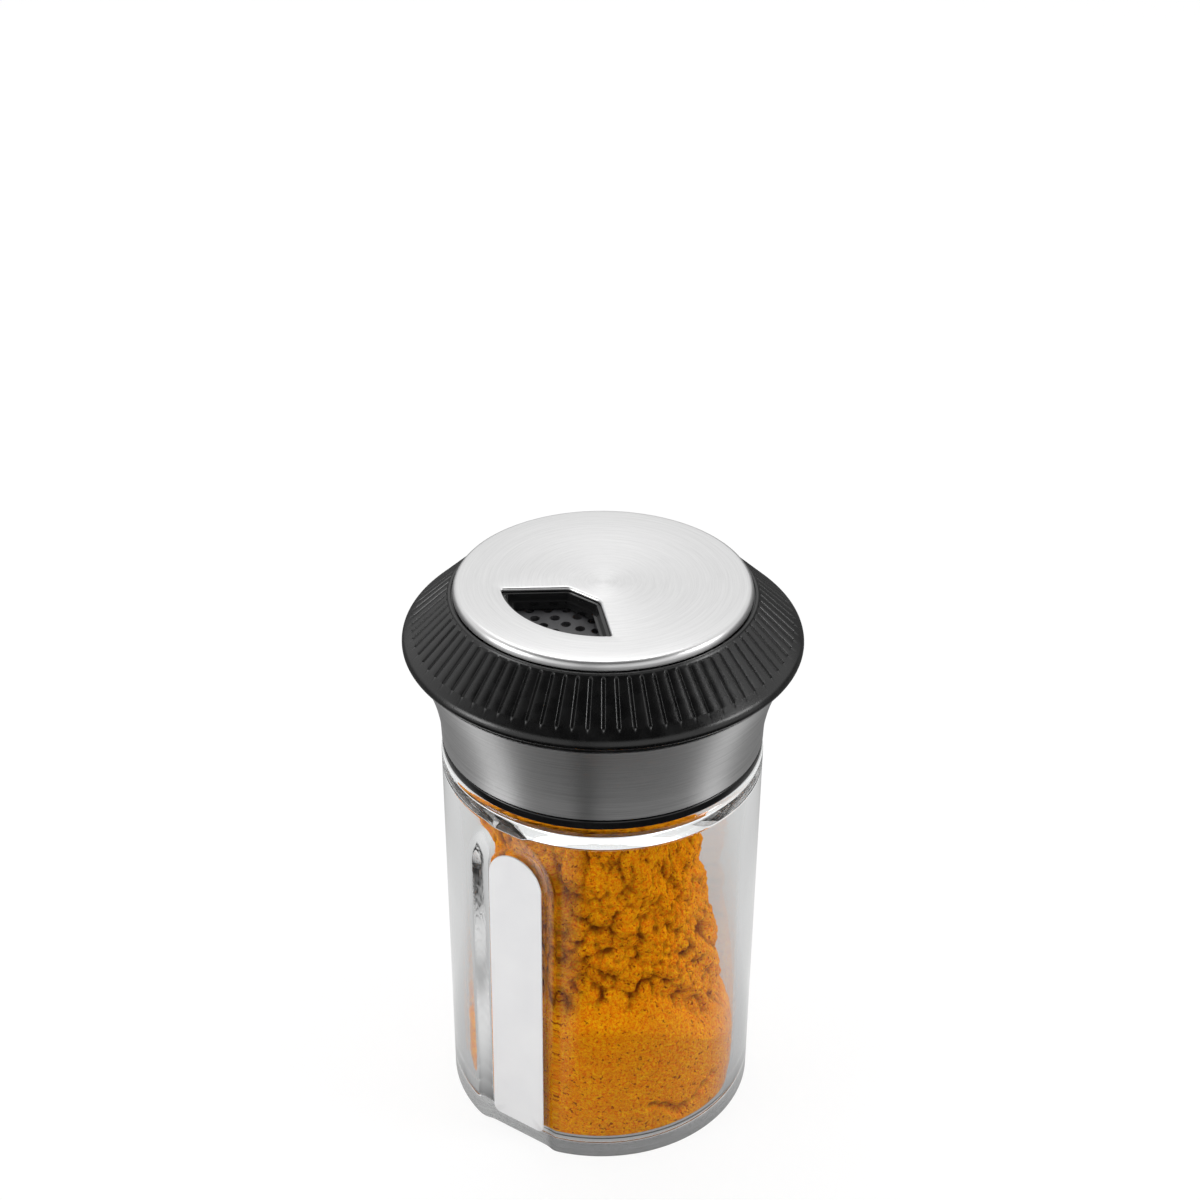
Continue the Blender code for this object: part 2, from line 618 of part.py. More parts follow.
def sieve_plate(surface, parent):
    """Fixed plate under the dial: sprinkling holes, a pouring hole, the pivot's hole and a snap skirt."""
    inner = SIEVE_SKIRT_RADIUS - SIEVE_SKIRT_WALL
    foot = SIEVE_FOOT - SIEVE_SKIRT_HEIGHT
    outline = [
        (SIEVE_RADIUS, SIEVE_TOP),
        (SIEVE_RADIUS, SIEVE_FOOT),
        (SIEVE_SKIRT_RADIUS, SIEVE_FOOT),
        (SIEVE_SKIRT_RADIUS, foot + SIEVE_BEAD_HEIGHT),
        (SIEVE_SKIRT_RADIUS + SIEVE_BEAD, foot + SIEVE_BEAD_HEIGHT),
        (SIEVE_SKIRT_RADIUS, foot),
        (inner, foot),
        (inner, SIEVE_FOOT),
        (HUB_HOLE_RADIUS, SIEVE_FOOT),
        (HUB_HOLE_RADIUS, SIEVE_TOP),
    ]
    plate = add_object("sieve_plate", turned(outline), surface, parent)
    plate.rotation_euler.z = WINDOW_AZIMUTH
    low = SIEVE_FOOT - GAP
    high = SIEVE_TOP + GAP
    holes = bmesh.new()
    for x, y in sieve_holes():
        place = Matrix.Translation((x, y, (low + high) / 2))
        bmesh.ops.create_cone(
            holes, cap_ends=True, segments=HOLE_STEPS, radius1=SIEVE_HOLE_RADIUS,
            radius2=SIEVE_HOLE_RADIUS, depth=high - low, matrix=place,
        )
    boolean(plate, add_object("sieve_hole_guide", holes, None, plate))
    pour = prism(window_outline(POUR_INSET, POUR_INSET), low, high)
    pour_guide = add_object("pour_hole_guide", pour, None, plate)
    pour_guide.rotation_euler.z = POUR_AZIMUTH
    boolean(plate, pour_guide)
    return plate


def ring_cone():
    """Ends of the ring's straight cone in (radius, height): under the lip, and where the bulge starts."""
    lip = Vector((DISC_RADIUS + GAP + RING_LIP_WIDTH, RING_LEDGE))
    bulge = Vector((RING_RADIUS - RING_BULGE, RING_FOOT + RING_WIDEST_HEIGHT))
    away = lip - bulge
    angle = atan2(away.y, away.x) - acos(RING_BULGE / away.length)
    start = bulge + Vector((cos(angle), sin(angle))) * RING_BULGE
    return lip, start, bulge


def grip_ring(surface, parent):
    """Knob ring round the dial: a grooved cone over a round bulge, hollow underneath."""
    lip, start, bulge = ring_cone()
    down = (start - lip).normalized()
    normal = Vector((-down.y, down.x))
    outline = [(DISC_RADIUS + GAP, RING_LEDGE), (DISC_RADIUS + GAP, RING_TOP)]
    outline.append((lip.x - RING_LIP_DEPTH / 2, RING_TOP))
    outline.append((lip.x, lip.y))
    first = atan2(start.y - bulge.y, start.x - bulge.x)
    for k in range(CORNER_STEPS):
        angle = first * (1 - k / (CORNER_STEPS - 1))
        outline.append((bulge.x + RING_BULGE * cos(angle), bulge.y + RING_BULGE * sin(angle)))
    foot_round = (pi / 2) / (CORNER_STEPS - 1)
    for k in range(1, CORNER_STEPS):
        angle = foot_round * k
        inset = RING_FOOT_INSET * (1 - cos(angle))
        outline.append((RING_RADIUS - inset, bulge.y - RING_WIDEST_HEIGHT * sin(angle)))
    foot_inside = RING_RADIUS - RING_FOOT_INSET - RING_FOOT_WIDTH
    inner_lip = lip - normal * RING_WALL
    inner_slope = down.y / down.x
    outline.append((foot_inside, RING_FOOT))
    outline.append((foot_inside, inner_lip.y + (foot_inside - inner_lip.x) * inner_slope))
    outline.append((RING_BORE, inner_lip.y + (RING_BORE - inner_lip.x) * inner_slope))
    outline.append((RING_BORE, RING_LEDGE))
    ring = add_object("grip_ring", turned(outline, GROOVE_COUNT), surface, parent)
    facet = 2 * pi / GROOVE_COUNT
    ring.rotation_euler.z = GROOVE_PHASE + facet / 2
    grooves = bmesh.new()
    length = (start - lip).length
    high = lip + down * length * GROOVE_START_SHARE
    low = lip + down * length * GROOVE_END_SHARE
    flat = cos(facet / 2)
    half = GROOVE_WIDTH / 2
    slot = []
    for end, way in ((high, -1), (low, 1)):
        for k in range(CORNER_STEPS):
            angle = pi * (k / (CORNER_STEPS - 1) - 1 / 2)
            slot.append((end, way * half * (cos(angle) - 1), way * half * sin(angle)))
    for i in range(GROOVE_COUNT):
        turn = Matrix.Rotation(facet * (i + 1 / 2), 3, "Z")
        rings = []
        for depth in (-GROOVE_DEPTH, GROOVE_DEPTH):
            ring_points = []
            for end, along, across in slot:
                point = end + down * along + normal * depth
                ring_points.append(grooves.verts.new(turn @ Vector((point.x * flat, across, point.y))))
            rings.append(ring_points)
        bridge(grooves, rings)
    boolean(ring, add_object("groove_guide", grooves, None, ring))
    return ring


def top_disc(surface, parent):
    """Steel cap of the dial with a rounded edge and the window."""
    share = sin(pi / 4)
    inside = DISC_TOP - DISC_THICKNESS
    outline = [
        (0, DISC_TOP),
        (DISC_RADIUS - DISC_ROUND, DISC_TOP),
        (DISC_RADIUS - DISC_ROUND * (1 - share), DISC_TOP - DISC_ROUND * (1 - share)),
        (DISC_RADIUS, DISC_TOP - DISC_ROUND),
        (DISC_RADIUS, DISC_FOOT),
        (RING_BORE, DISC_FOOT),
        (RING_BORE, inside - (DISC_ROUND - DISC_THICKNESS)),
        (DISC_RADIUS - DISC_ROUND, inside),
        (0, inside),
    ]
    disc = add_object("top_disc", turned(outline), surface, parent)
    hole = prism(window_outline(0, 0), inside - GAP, DISC_TOP + GAP)
    boolean(disc, add_object("window_guide", hole, None, parent))
    return disc


def dial_carrier(surface, parent):
    """Plastic carrier under the steel disc: stepped window, weight-saving pockets and the pivot's hub."""
    bore = SCREW_RADIUS + GAP
    bore_top = SCREW_HEAD_TOP + SCREW_LENGTH + GAP
    outline = [
        (0, CARRIER_TOP),
        (CARRIER_RADIUS, CARRIER_TOP),
        (CARRIER_RADIUS, CARRIER_FOOT),
        (HUB_RADIUS, CARRIER_FOOT),
        (HUB_RADIUS, HUB_FOOT),
        (bore, HUB_FOOT),
        (bore, bore_top),
        (0, bore_top),
    ]
    carrier = add_object("dial_carrier", turned(outline), surface, parent)
    low = CARRIER_FOOT - GAP
    high = CARRIER_TOP + GAP
    step = CARRIER_TOP - CARRIER_STEP_DEPTH
    for name, inset, foot in (
        ("window_step_guide", CARRIER_STEP_INSET, step),
        ("window_opening_guide", CARRIER_OPENING_INSET, low),
    ):
        hole = prism(window_outline(inset, inset), foot, high)
        boolean(carrier, add_object(name, hole, None, parent))
    pockets = bmesh.new()
    span = (2 * pi - 2 * CARRIER_POCKET_CLEARANCE) / CARRIER_POCKETS
    outer = CARRIER_RADIUS - CARRIER_RIM
    for i in range(CARRIER_POCKETS):
        first = CARRIER_POCKET_CLEARANCE + span * i + CARRIER_RIB_ANGLE / 2
        sweep = span - CARRIER_RIB_ANGLE
        angles = [first + sweep * k / CORNER_STEPS for k in range(CORNER_STEPS + 1)]
        sector = [(outer * cos(a), outer * sin(a)) for a in angles]
        sector += [(CARRIER_POCKET_START * cos(a), CARRIER_POCKET_START * sin(a)) for a in reversed(angles)]
        rings = []
        for height in (CARRIER_FOOT + CARRIER_PLATE, high):
            rings.append([pockets.verts.new((x, y, height)) for x, y in sector])
        bridge(pockets, rings)
    boolean(carrier, add_object("pocket_guide", pockets, None, parent))
    return carrier


def pivot_screw(surface, parent):
    """Pan-head screw from below that holds the dial down, with a cross recess."""
    head_foot = SCREW_HEAD_TOP - SCREW_HEAD_HEIGHT
    outline = [
        (0, SCREW_HEAD_TOP + SCREW_LENGTH),
        (SCREW_RADIUS, SCREW_HEAD_TOP + SCREW_LENGTH),
        (SCREW_RADIUS, SCREW_HEAD_TOP),
        (SCREW_HEAD_RADIUS, SCREW_HEAD_TOP),
        (SCREW_HEAD_RADIUS, head_foot + SCREW_HEAD_ROUND),
        (SCREW_HEAD_RADIUS - SCREW_HEAD_ROUND, head_foot),
        (0, head_foot),
    ]
    screw = add_object("pivot_screw", turned(outline, SMALL_STEPS), surface, parent)
    long = SCREW_SLOT_LENGTH / 2
    short = SCREW_SLOT_WIDTH / 2
    cross = [
        (long, -short), (long, short), (short, short), (short, long), (-short, long), (-short, short),
        (-long, short), (-long, -short), (-short, -short), (-short, -long), (short, -long), (short, -short),
    ]
    slot = prism(cross, head_foot - GAP, head_foot + SCREW_SLOT_DEPTH)
    boolean(screw, add_object("screw_slot_guide", slot, None, parent))
    return screw


def pivot_washer(surface, parent):
    """Flat washer between the screw's head and the hub."""
    inner = SCREW_RADIUS + GAP
    foot = WASHER_TOP - WASHER_THICKNESS
    outline = [(WASHER_RADIUS, WASHER_TOP), (WASHER_RADIUS, foot), (inner, foot), (inner, WASHER_TOP)]
    return add_object("pivot_washer", turned(outline, SMALL_STEPS), surface, parent)


def wave_spring(surface, parent):
    """Wavy spring washer round the hub that presses the dial down on the sieve plate."""
    inner = HUB_HOLE_RADIUS + GAP
    outer = inner + SPRING_WIDTH
    room = SIEVE_FOOT - WASHER_TOP - 2 * GAP
    swing = (room - SPRING_THICKNESS) / 2
    middle = (SIEVE_FOOT + WASHER_TOP) / 2
    body = bmesh.new()
    rings = []
    for k in range(SPRING_STEPS):
        angle = 2 * pi * k / SPRING_STEPS
        height = middle + swing * sin(SPRING_WAVES * angle)
        half = SPRING_THICKNESS / 2
        section = ((outer, half), (outer, -half), (inner, -half), (inner, half))
        rings.append([body.verts.new((r * cos(angle), r * sin(angle), height + h)) for r, h in section])
    for near, far in zip(rings, rings[1:] + rings[:1]):
        for i in range(4):
            j = (i + 1) % 4
            body.faces.new((near[i], near[j], far[j], far[i]))
    return add_object("wave_spring", body, surface, parent)


def build():
    """Make every piece, each under the empty of the body that it belongs to."""
    clear_scene()
    glass = material("clear_glass", (0.93, 0.95, 0.95), 0.03, transmission=1.0)
    paper = material("label_paper", (0.78, 0.78, 0.77), 0.7)
    spice = material("orange_powder", (0.72, 0.3, 0.005), 0.95)
    silicone = material("grey_silicone", (0.6, 0.6, 0.58), 0.6)
    steel = material("brushed_steel", (0.6, 0.6, 0.59), 0.35, metallic=1.0)
    bright_steel = material("bright_steel", (0.75, 0.75, 0.74), 0.3, metallic=1.0)
    grip = material("grained_black_plastic", (0.03, 0.03, 0.03), 0.45)
    black = material("smooth_black_plastic", (0.012, 0.012, 0.012), 0.25)
    grey = material("dark_grey_plastic", (0.06, 0.06, 0.062), 0.4)
    zinc = material("zinc_plated_steel", (0.5, 0.5, 0.5), 0.4, metallic=1.0)

    jar_axis = add_axis("jar_axis")
    glass_jar(glass, jar_axis)
    label(paper, jar_axis)
    spice_powder(spice, jar_axis)

    lift_axis = add_axis("lid_lift_axis", jar_axis)
    jar_seal(silicone, lift_axis)

    turn_axis = add_axis("lid_turn_axis", lift_axis)
    lid_collar(black, turn_axis)
    foot_ring(black, turn_axis)
    steel_band(steel, turn_axis)
    sieve_plate(grey, turn_axis)

    dial_axis = add_axis("dial_turn_axis", turn_axis, WINDOW_AZIMUTH)
    grip_ring(grip, dial_axis)
    top_disc(bright_steel, dial_axis)
    dial_carrier(black, dial_axis)
    pivot_screw(zinc, dial_axis)
    pivot_washer(zinc, dial_axis)
    wave_spring(zinc, dial_axis)


build()
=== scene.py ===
# %% [markdown]
# # A glass spice shaker with a turning dial
#
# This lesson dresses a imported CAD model. The model brings the right sizes and the bodies that move.
# The script adds finer surfaces where the eye looks, gives every piece a finish worked out with
# nodes, and sets the camera and the studio as in the photograph.

import bpy
import numpy as np
from mathutils import Matrix, Vector


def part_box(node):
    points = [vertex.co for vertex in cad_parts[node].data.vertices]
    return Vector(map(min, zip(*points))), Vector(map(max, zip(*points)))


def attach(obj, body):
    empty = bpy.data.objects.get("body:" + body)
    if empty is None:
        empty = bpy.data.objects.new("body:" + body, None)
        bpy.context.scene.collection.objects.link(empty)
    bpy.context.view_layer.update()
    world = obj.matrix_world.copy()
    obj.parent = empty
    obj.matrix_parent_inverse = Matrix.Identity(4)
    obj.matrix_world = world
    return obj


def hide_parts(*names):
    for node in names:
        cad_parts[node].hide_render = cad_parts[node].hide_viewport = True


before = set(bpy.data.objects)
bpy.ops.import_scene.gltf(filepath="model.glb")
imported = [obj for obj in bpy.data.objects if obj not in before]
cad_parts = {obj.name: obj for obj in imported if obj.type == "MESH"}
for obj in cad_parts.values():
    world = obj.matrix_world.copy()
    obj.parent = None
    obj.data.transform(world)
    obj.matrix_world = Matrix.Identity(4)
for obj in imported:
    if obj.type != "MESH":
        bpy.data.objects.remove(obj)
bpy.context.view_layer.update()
print("nodes:", sorted(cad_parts))

# %% [markdown]
# ## The camera first
#
# The photograph was taken from above and a little to one side of the label. Its place was found
# by fitting the ellipses of the dial, the steel band and the jar. The camera looks down by 31
# degrees from about 41 cm away, with a 72 mm lens on a square frame.

# %% Camera
MM = 0.001
PITCH = 0.5417
ROLL = 0.0049
VIEW_TURN = np.radians(35)
AIM = Vector((-0.5442, 0, 103.6001)) * MM
DISTANCE = 414.8167 * MM


def camera_matrix():
    """Camera axes from pitch and roll: forward looks down by the pitch, and the whole is turned about Z."""
    forward = Vector((0, np.cos(PITCH), -np.sin(PITCH)))
    level_up = Vector((0, np.sin(PITCH), np.cos(PITCH)))
    level_right = Vector((1, 0, 0))
    right = np.cos(ROLL) * level_right + np.sin(ROLL) * level_up
    up = -np.sin(ROLL) * level_right + np.cos(ROLL) * level_up
    axes = Matrix((right, up, -forward)).transposed().to_4x4()
    place = Matrix.Translation(AIM - DISTANCE * forward)
    return Matrix.Rotation(VIEW_TURN, 4, "Z") @ place @ axes


lens = bpy.data.cameras.new("photo_camera")
lens.lens = 72
lens.sensor_width = 36
lens.sensor_fit = "HORIZONTAL"
camera = bpy.data.objects.new("photo_camera", lens)
bpy.context.scene.collection.objects.link(camera)
camera.matrix_world = camera_matrix()
bpy.context.scene.camera = camera
print("camera at", [round(v, 3) for v in camera.matrix_world.translation])

# %% [markdown]
# ## Helpers for shapes
#
# Every piece of this shaker but the label is round, so most shapes are an outline of radius and
# height carried round the axis. Corners of a moulded or pressed piece are never quite sharp. A short
# curve at each corner catches the light, and that thin bright line is what makes an edge look real.

# %% Outlines and turned surfaces
def joined(*parts):
    """Points from arrays of their coordinates, where a single number is repeated as often as needed."""
    return np.stack(np.broadcast_arrays(*parts), axis=-1)


def softened(corners, softness, steps=6):
    """Closed outline with every corner rounded. For t from 0 to 1 the curve is the corner, plus
    (1 - t) squared times a step back along the side before, plus t squared times a step on along
    the side after it. No step is longer than 0.45 of its side."""
    corners = np.array(corners, float)
    before = np.roll(corners, 1, axis=0) - corners
    after = np.roll(corners, -1, axis=0) - corners
    before_length = np.linalg.norm(before, axis=1, keepdims=True)
    after_length = np.linalg.norm(after, axis=1, keepdims=True)
    step = np.broadcast_to(np.array(softness, float).reshape(-1, 1), before_length.shape)
    step = np.minimum(step, 0.45 * np.minimum(before_length, after_length))
    t = np.linspace(0, 1, steps)[None, :, None]
    back = (before / before_length * step)[:, None]
    on = (after / after_length * step)[:, None]
    return (corners[:, None] + (1 - t) ** 2 * back + t ** 2 * on).reshape(-1, 2)


def arc(centre, radius, start, end, count):
    """Points of an arc in (radius, height), from one angle to another; two radii make an ellipse."""
    angle = np.linspace(start, end, count)
    wide, high = np.broadcast_to(radius, 2)
    return joined(centre[0] + wide * np.cos(angle), centre[1] + high * np.sin(angle))


def full_turn(count):
    """Even angles once round."""
    return np.linspace(0, 2 * np.pi, count, endpoint=False)


def carried_round(outline, angles):
    """Grid of points: each (radius, height) of the outline at each angle about Z."""
    radius, height = np.asarray(outline).T[..., None]
    return joined(radius * np.cos(angles), radius * np.sin(angles), height)


# %% [markdown]
# A grid of points becomes a mesh with one face for each cell. The grid always closes round its
# columns. Its rows close too when the outline is a loop, as on a ring, and otherwise each end is
# closed by a fan round a pole. The signed volume tells whether the faces look outwards.

# %% Mesh from a grid
def grid_faces(rows, columns, looped):
    """Quads between neighbouring rows and columns, and the triangles of the two poles."""
    index = np.arange(rows * columns).reshape(rows, columns)
    poles = np.zeros((0, 3), int)
    if looped:
        index = np.vstack([index, index[:1]])
    else:
        first = rows * columns
        low = joined(first, np.roll(index[0], -1), index[0])
        high = joined(first + 1, index[-1], np.roll(index[-1], -1))
        poles = np.vstack([low, high])
    near, far = index[:-1], index[1:]
    quads = joined(near, np.roll(near, -1, 1), np.roll(far, -1, 1), far)
    return quads.reshape(-1, 4), poles


def signed_volume(vertices, triangles):
    """Sum over all triangles of a . (b x c) / 6, which is positive when the faces look outwards."""
    a, b, c = (vertices[triangles[:, i]] for i in range(3))
    return np.einsum("ij,ij->i", a, np.cross(b, c)).sum() / 6


def grid_object(name, points, looped):
    """An object whose mesh spans a grid of points, with its faces turned outwards."""
    quads, poles = grid_faces(*points.shape[:2], looped)
    vertices = points.reshape(-1, 3)
    if not looped:
        vertices = np.vstack([vertices, points[[0, -1]].mean(axis=1)])
    triangles = np.vstack([quads[:, [0, 1, 2]], quads[:, [0, 2, 3]], poles])
    volume = signed_volume(vertices, triangles)
    if volume < 0:
        quads, poles = quads[:, ::-1], poles[:, ::-1]
    mesh = bpy.data.meshes.new(name)
    mesh.from_pydata(vertices.tolist(), [], quads.tolist() + poles.tolist())
    made = bpy.data.objects.new(name, mesh)
    bpy.context.scene.collection.objects.link(made)
    print(name, len(triangles), "triangles,", round(abs(volume) * 1e6, 3), "ml")
    return made


def make_piece(name, points, finish, body, node, looped=True, sharp=50):
    """A smooth piece that rides on a body and stands for a CAD node. Edges that turn by more than
    the angle sharp, in degrees, are left sharp."""
    piece = grid_object(name, points, looped)
    piece.data.shade_smooth()
    piece.data.set_sharp_from_angle(angle=np.radians(sharp))
    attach(piece, body)
    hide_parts(node)
    piece.data.materials.append(finish)
    return piece


# %% [markdown]
# ## Helpers for finishes
#
# A finish is a network of nodes. Written out one link at a time it is hard to read, so a small class
# wraps a socket and lets Python's own signs add the Math nodes: `1 - mask` is one Subtract node.

# %% Sockets that can be reckoned with
class Wire:
    """A node's output that takes part in sums. Each sign adds one Math node."""

    def __init__(self, finish, socket):
        self.finish = finish
        self.socket = socket

    def math(self, operation, other=0.0):
        return self.finish.math(operation, self, other)

    def __add__(self, other):
        return self.math("ADD", other)

    def __sub__(self, other):
        return self.math("SUBTRACT", other)

    def __mul__(self, other):
        return self.math("MULTIPLY", other)

    def __truediv__(self, other):
        return self.math("DIVIDE", other)

    def __pow__(self, other):
        return self.math("POWER", other)

    def __rsub__(self, other):
        return self.finish.math("SUBTRACT", other, self)

    def __rtruediv__(self, other):
        return self.finish.math("DIVIDE", other, self)

    __radd__ = __add__
    __rmul__ = __mul__


class Finish:
    """A node tree being filled: a new material's, or the world's."""

    def __init__(self, name, tree=None):
        if tree is None:
            self.material = bpy.data.materials.new(name)
            self.material.use_nodes = True
            tree = self.material.node_tree
            self.shader = tree.nodes["Principled BSDF"]
        self.tree = tree

    def node(self, kind, settings=None, values=None, out=0):
        """Add a node: its settings first, then the values or links of its sockets. Returns the
        chosen output."""
        made = self.tree.nodes.new(kind)
        for key, value in (settings or {}).items():
            setattr(made, key, value)
        for key, value in (values or {}).items():
            self.feed(made.inputs[key], value)
        return Wire(self, made.outputs[out])

    def math(self, operation, first, second):
        return self.node("ShaderNodeMath", {"operation": operation}, {0: first, 1: second})

    def feed(self, socket, value):
        """Link a wire, or set a value. A tuple is a colour, and its alpha is 1."""
        if isinstance(value, Wire):
            self.tree.links.new(value.socket, socket)
        else:
            socket.default_value = (*value, 1.0) if isinstance(value, tuple) else value

    def set(self, **values):
        """Set or link sockets of the Principled shader; an underscore stands for a space."""
        for key, value in values.items():
            self.feed(self.shader.inputs[key.replace("_", " ")], value)

    def mix_with(self, share, other):
        """Show a mix of the Principled shader and another one."""
        body = Wire(self, self.shader.outputs[0])
        mixed = self.node("ShaderNodeMixShader", values={0: share, 1: body, 2: other})
        self.feed(self.tree.nodes["Material Output"].inputs["Surface"], mixed)

    def seat(self):
        """Object coordinates, in metres."""
        return self.node("ShaderNodeTexCoord", out="Object")

    def parts(self, where):
        """The three parts of a vector as wires."""
        return [self.node("ShaderNodeSeparateXYZ", values={0: where}, out=i) for i in range(3)]

    def spot(self, x, y, z):
        return self.node("ShaderNodeCombineXYZ", values={0: x, 1: y, 2: z})

    def noise(self, where, scale, detail=2.0, roughness=0.5):
        values = {"Vector": where, "Scale": scale, "Detail": detail, "Roughness": roughness}
        return self.node("ShaderNodeTexNoise", {"noise_dimensions": "3D"}, values)

    def ramp(self, value, low, high, low_to=0.0, high_to=1.0):
        """Carry a value from one span to another and hold it at the ends."""
        values = {0: value, 1: low, 2: high, 3: low_to, 4: high_to}
        return self.node("ShaderNodeMapRange", {"clamp": True}, values)

    def blend(self, share, first, second):
        """Mix two colours."""
        return self.node("ShaderNodeMix", {"data_type": "RGBA"}, {0: share, 6: first, 7: second}, out=2)

    def bump(self, height, strength, distance):
        values = {"Strength": strength, "Distance": distance, "Height": height}
        return self.node("ShaderNodeBump", values=values)


# %% [markdown]
# ## Brushed steel
#
# The cap of the dial and the band are stainless steel brushed round the axis. The brush leaves
# thousands of fine scratches that all run one way, so the highlight spreads across them. The shader's
# anisotropy does the spreading, and a noise stretched along the scratches gives the visible lines.
# Round the axis the stretch follows the direction (x / r, y / r), which has no seam.

# %% Brushed steel
# Two widths of scratch: lines to a line's width, bends round the axis, and the noise's roughness
SCRATCHES = ((1, 3.5, 0.65), (0.2, 1.3, 0.6))


def brushed(name, colour, roughness, across, line, anisotropic, contrast):
    """Steel with scratches round Z; across is the coordinate that the lines are stacked along. Lines
    of two widths are mixed, the wide ones running further round."""
    finish = Finish(name)
    x, y, z = finish.parts(finish.seat())
    radius = (x * x + y * y) ** 0.5
    cosine, sine = x / radius, y / radius
    stack = radius if across == "radius" else z
    fine, wide = (
        finish.noise(finish.spot(stack * (lines / line), cosine * bend, sine * bend), 1.0, 3.0, rough)
        for lines, bend, rough in SCRATCHES
    )
    tone = fine * 0.55 + wide * 0.45
    dark = tuple((1 - contrast) * c for c in colour)
    finish.set(
        Base_Color=finish.blend(finish.ramp(tone, 0.36, 0.64), dark, colour),
        Roughness=finish.ramp(tone, 0.35, 0.65, roughness + 0.05, roughness - 0.05),
        Metallic=1.0,
        Anisotropic=anisotropic,
        Anisotropic_Rotation=0.25,
        Normal=finish.bump(fine, 0.2, 0.00001),
    )
    return finish.material


cap_steel = brushed("cap_steel", (0.73, 0.73, 0.73), 0.36, "radius", 0.00009, 0.35, 0.14)
band_steel = brushed("band_steel", (0.58, 0.58, 0.58), 0.44, "height", 0.00012, 0.95, 0.3)
print("steel:", cap_steel.name, band_steel.name)

# %% [markdown]
# ## Plastics and zinc
#
# The grip ring has the fine grain of a textured mould, which breaks the highlight into sparks. The
# inner lid and its foot ring came from a polished mould. The sieve plate is a satin dark grey.

# %% Plastics
def moulded(name, colour, roughness, grain, depth, sheen=0.5):
    """Plastic with the grain of its mould: a small noise as bump, and a wider one in tone and gloss."""
    finish = Finish(name)
    seat = finish.seat()
    fine = finish.noise(seat, 1 / grain, 3.0, 0.6)
    wide = finish.noise(seat, 0.08 / grain)
    share = finish.ramp(fine * 0.5 + wide * 0.5, 0.35, 0.65)
    light = tuple(1.5 * c + 0.002 for c in colour)
    finish.set(
        Base_Color=finish.blend(share, colour, light),
        Roughness=finish.ramp(wide, 0.3, 0.7, roughness - 0.04, roughness + 0.04),
        Specular_IOR_Level=sheen,
        Normal=finish.bump(fine, 0.5, depth),
    )
    return finish.material


grained_plastic = moulded("grained_plastic", (0.0015, 0.0015, 0.0016), 0.27, 0.00022, 0.00003)
polished_plastic = moulded("polished_plastic", (0.004, 0.004, 0.0042), 0.16, 0.0006, 0.000002)
sieve_plastic = moulded("sieve_plastic", (0.035, 0.035, 0.037), 0.36, 0.0003, 0.000012)
silicone = moulded("silicone", (0.5, 0.5, 0.48), 0.6, 0.0005, 0.000008, 0.35)
print("plastics ready")


# %% Zinc plating
def zinc_plated():
    """Bluish plating with a cloudy bloom, for the screw, its washer and the spring."""
    finish = Finish("zinc_plate")
    cloud = finish.noise(finish.seat(), 900.0, 4.0, 0.6)
    finish.set(
        Base_Color=finish.blend(finish.ramp(cloud, 0.35, 0.65), (0.5, 0.52, 0.55), (0.66, 0.67, 0.68)),
        Roughness=finish.ramp(cloud, 0.3, 0.7, 0.28, 0.42),
        Metallic=1.0,
    )
    return finish.material


zinc = zinc_plated()
print("zinc ready")

# %% [markdown]
# ## Glass
#
# The jar is pressed glass. It is clear, and what shows is its gloss and the way it bends the room.
# The mould leaves the surface very slightly wavy. Lamps reach the powder through the wall: a Mix
# Shader lets shadow rays pass straight through, which a thin clear wall nearly does.

# %% Glass
def pressed_glass():
    """Clear glass with a slight wave in its tint, its gloss and its normal."""
    finish = Finish("pressed_glass")
    wave = finish.noise(finish.seat(), 160.0)
    finish.set(
        Base_Color=finish.blend(wave, (0.975, 0.985, 0.985), (0.985, 0.99, 0.99)),
        Roughness=finish.ramp(wave, 0.3, 0.7, 0.0, 0.02),
        Transmission_Weight=1.0,
        IOR=1.5,
        Normal=finish.bump(wave, 0.3, 0.00005),
    )
    shadow = finish.node("ShaderNodeLightPath", out="Is Shadow Ray")
    finish.mix_with(shadow, finish.node("ShaderNodeBsdfTransparent", values={0: (0.96, 0.965, 0.965)}))
    return finish.material


glass = pressed_glass()
print("glass ready")


# %% Label paper
def label_coat():
    """A writing label with a fine tooth: nearly even, a little cloudy, with a soft sheen."""
    finish = Finish("label_coat")
    seat = finish.seat()
    tooth = finish.noise(seat, 5200.0, 3.0, 0.6)
    cloud = finish.noise(seat, 120.0)
    finish.set(
        Base_Color=finish.blend(finish.ramp(cloud, 0.3, 0.7), (0.67, 0.67, 0.68), (0.71, 0.71, 0.715)),
        Roughness=finish.ramp(tooth, 0.3, 0.7, 0.45, 0.6),
        Normal=finish.bump(tooth, 0.3, 0.000015),
    )
    return finish.material


paper = label_coat()
print("paper ready")
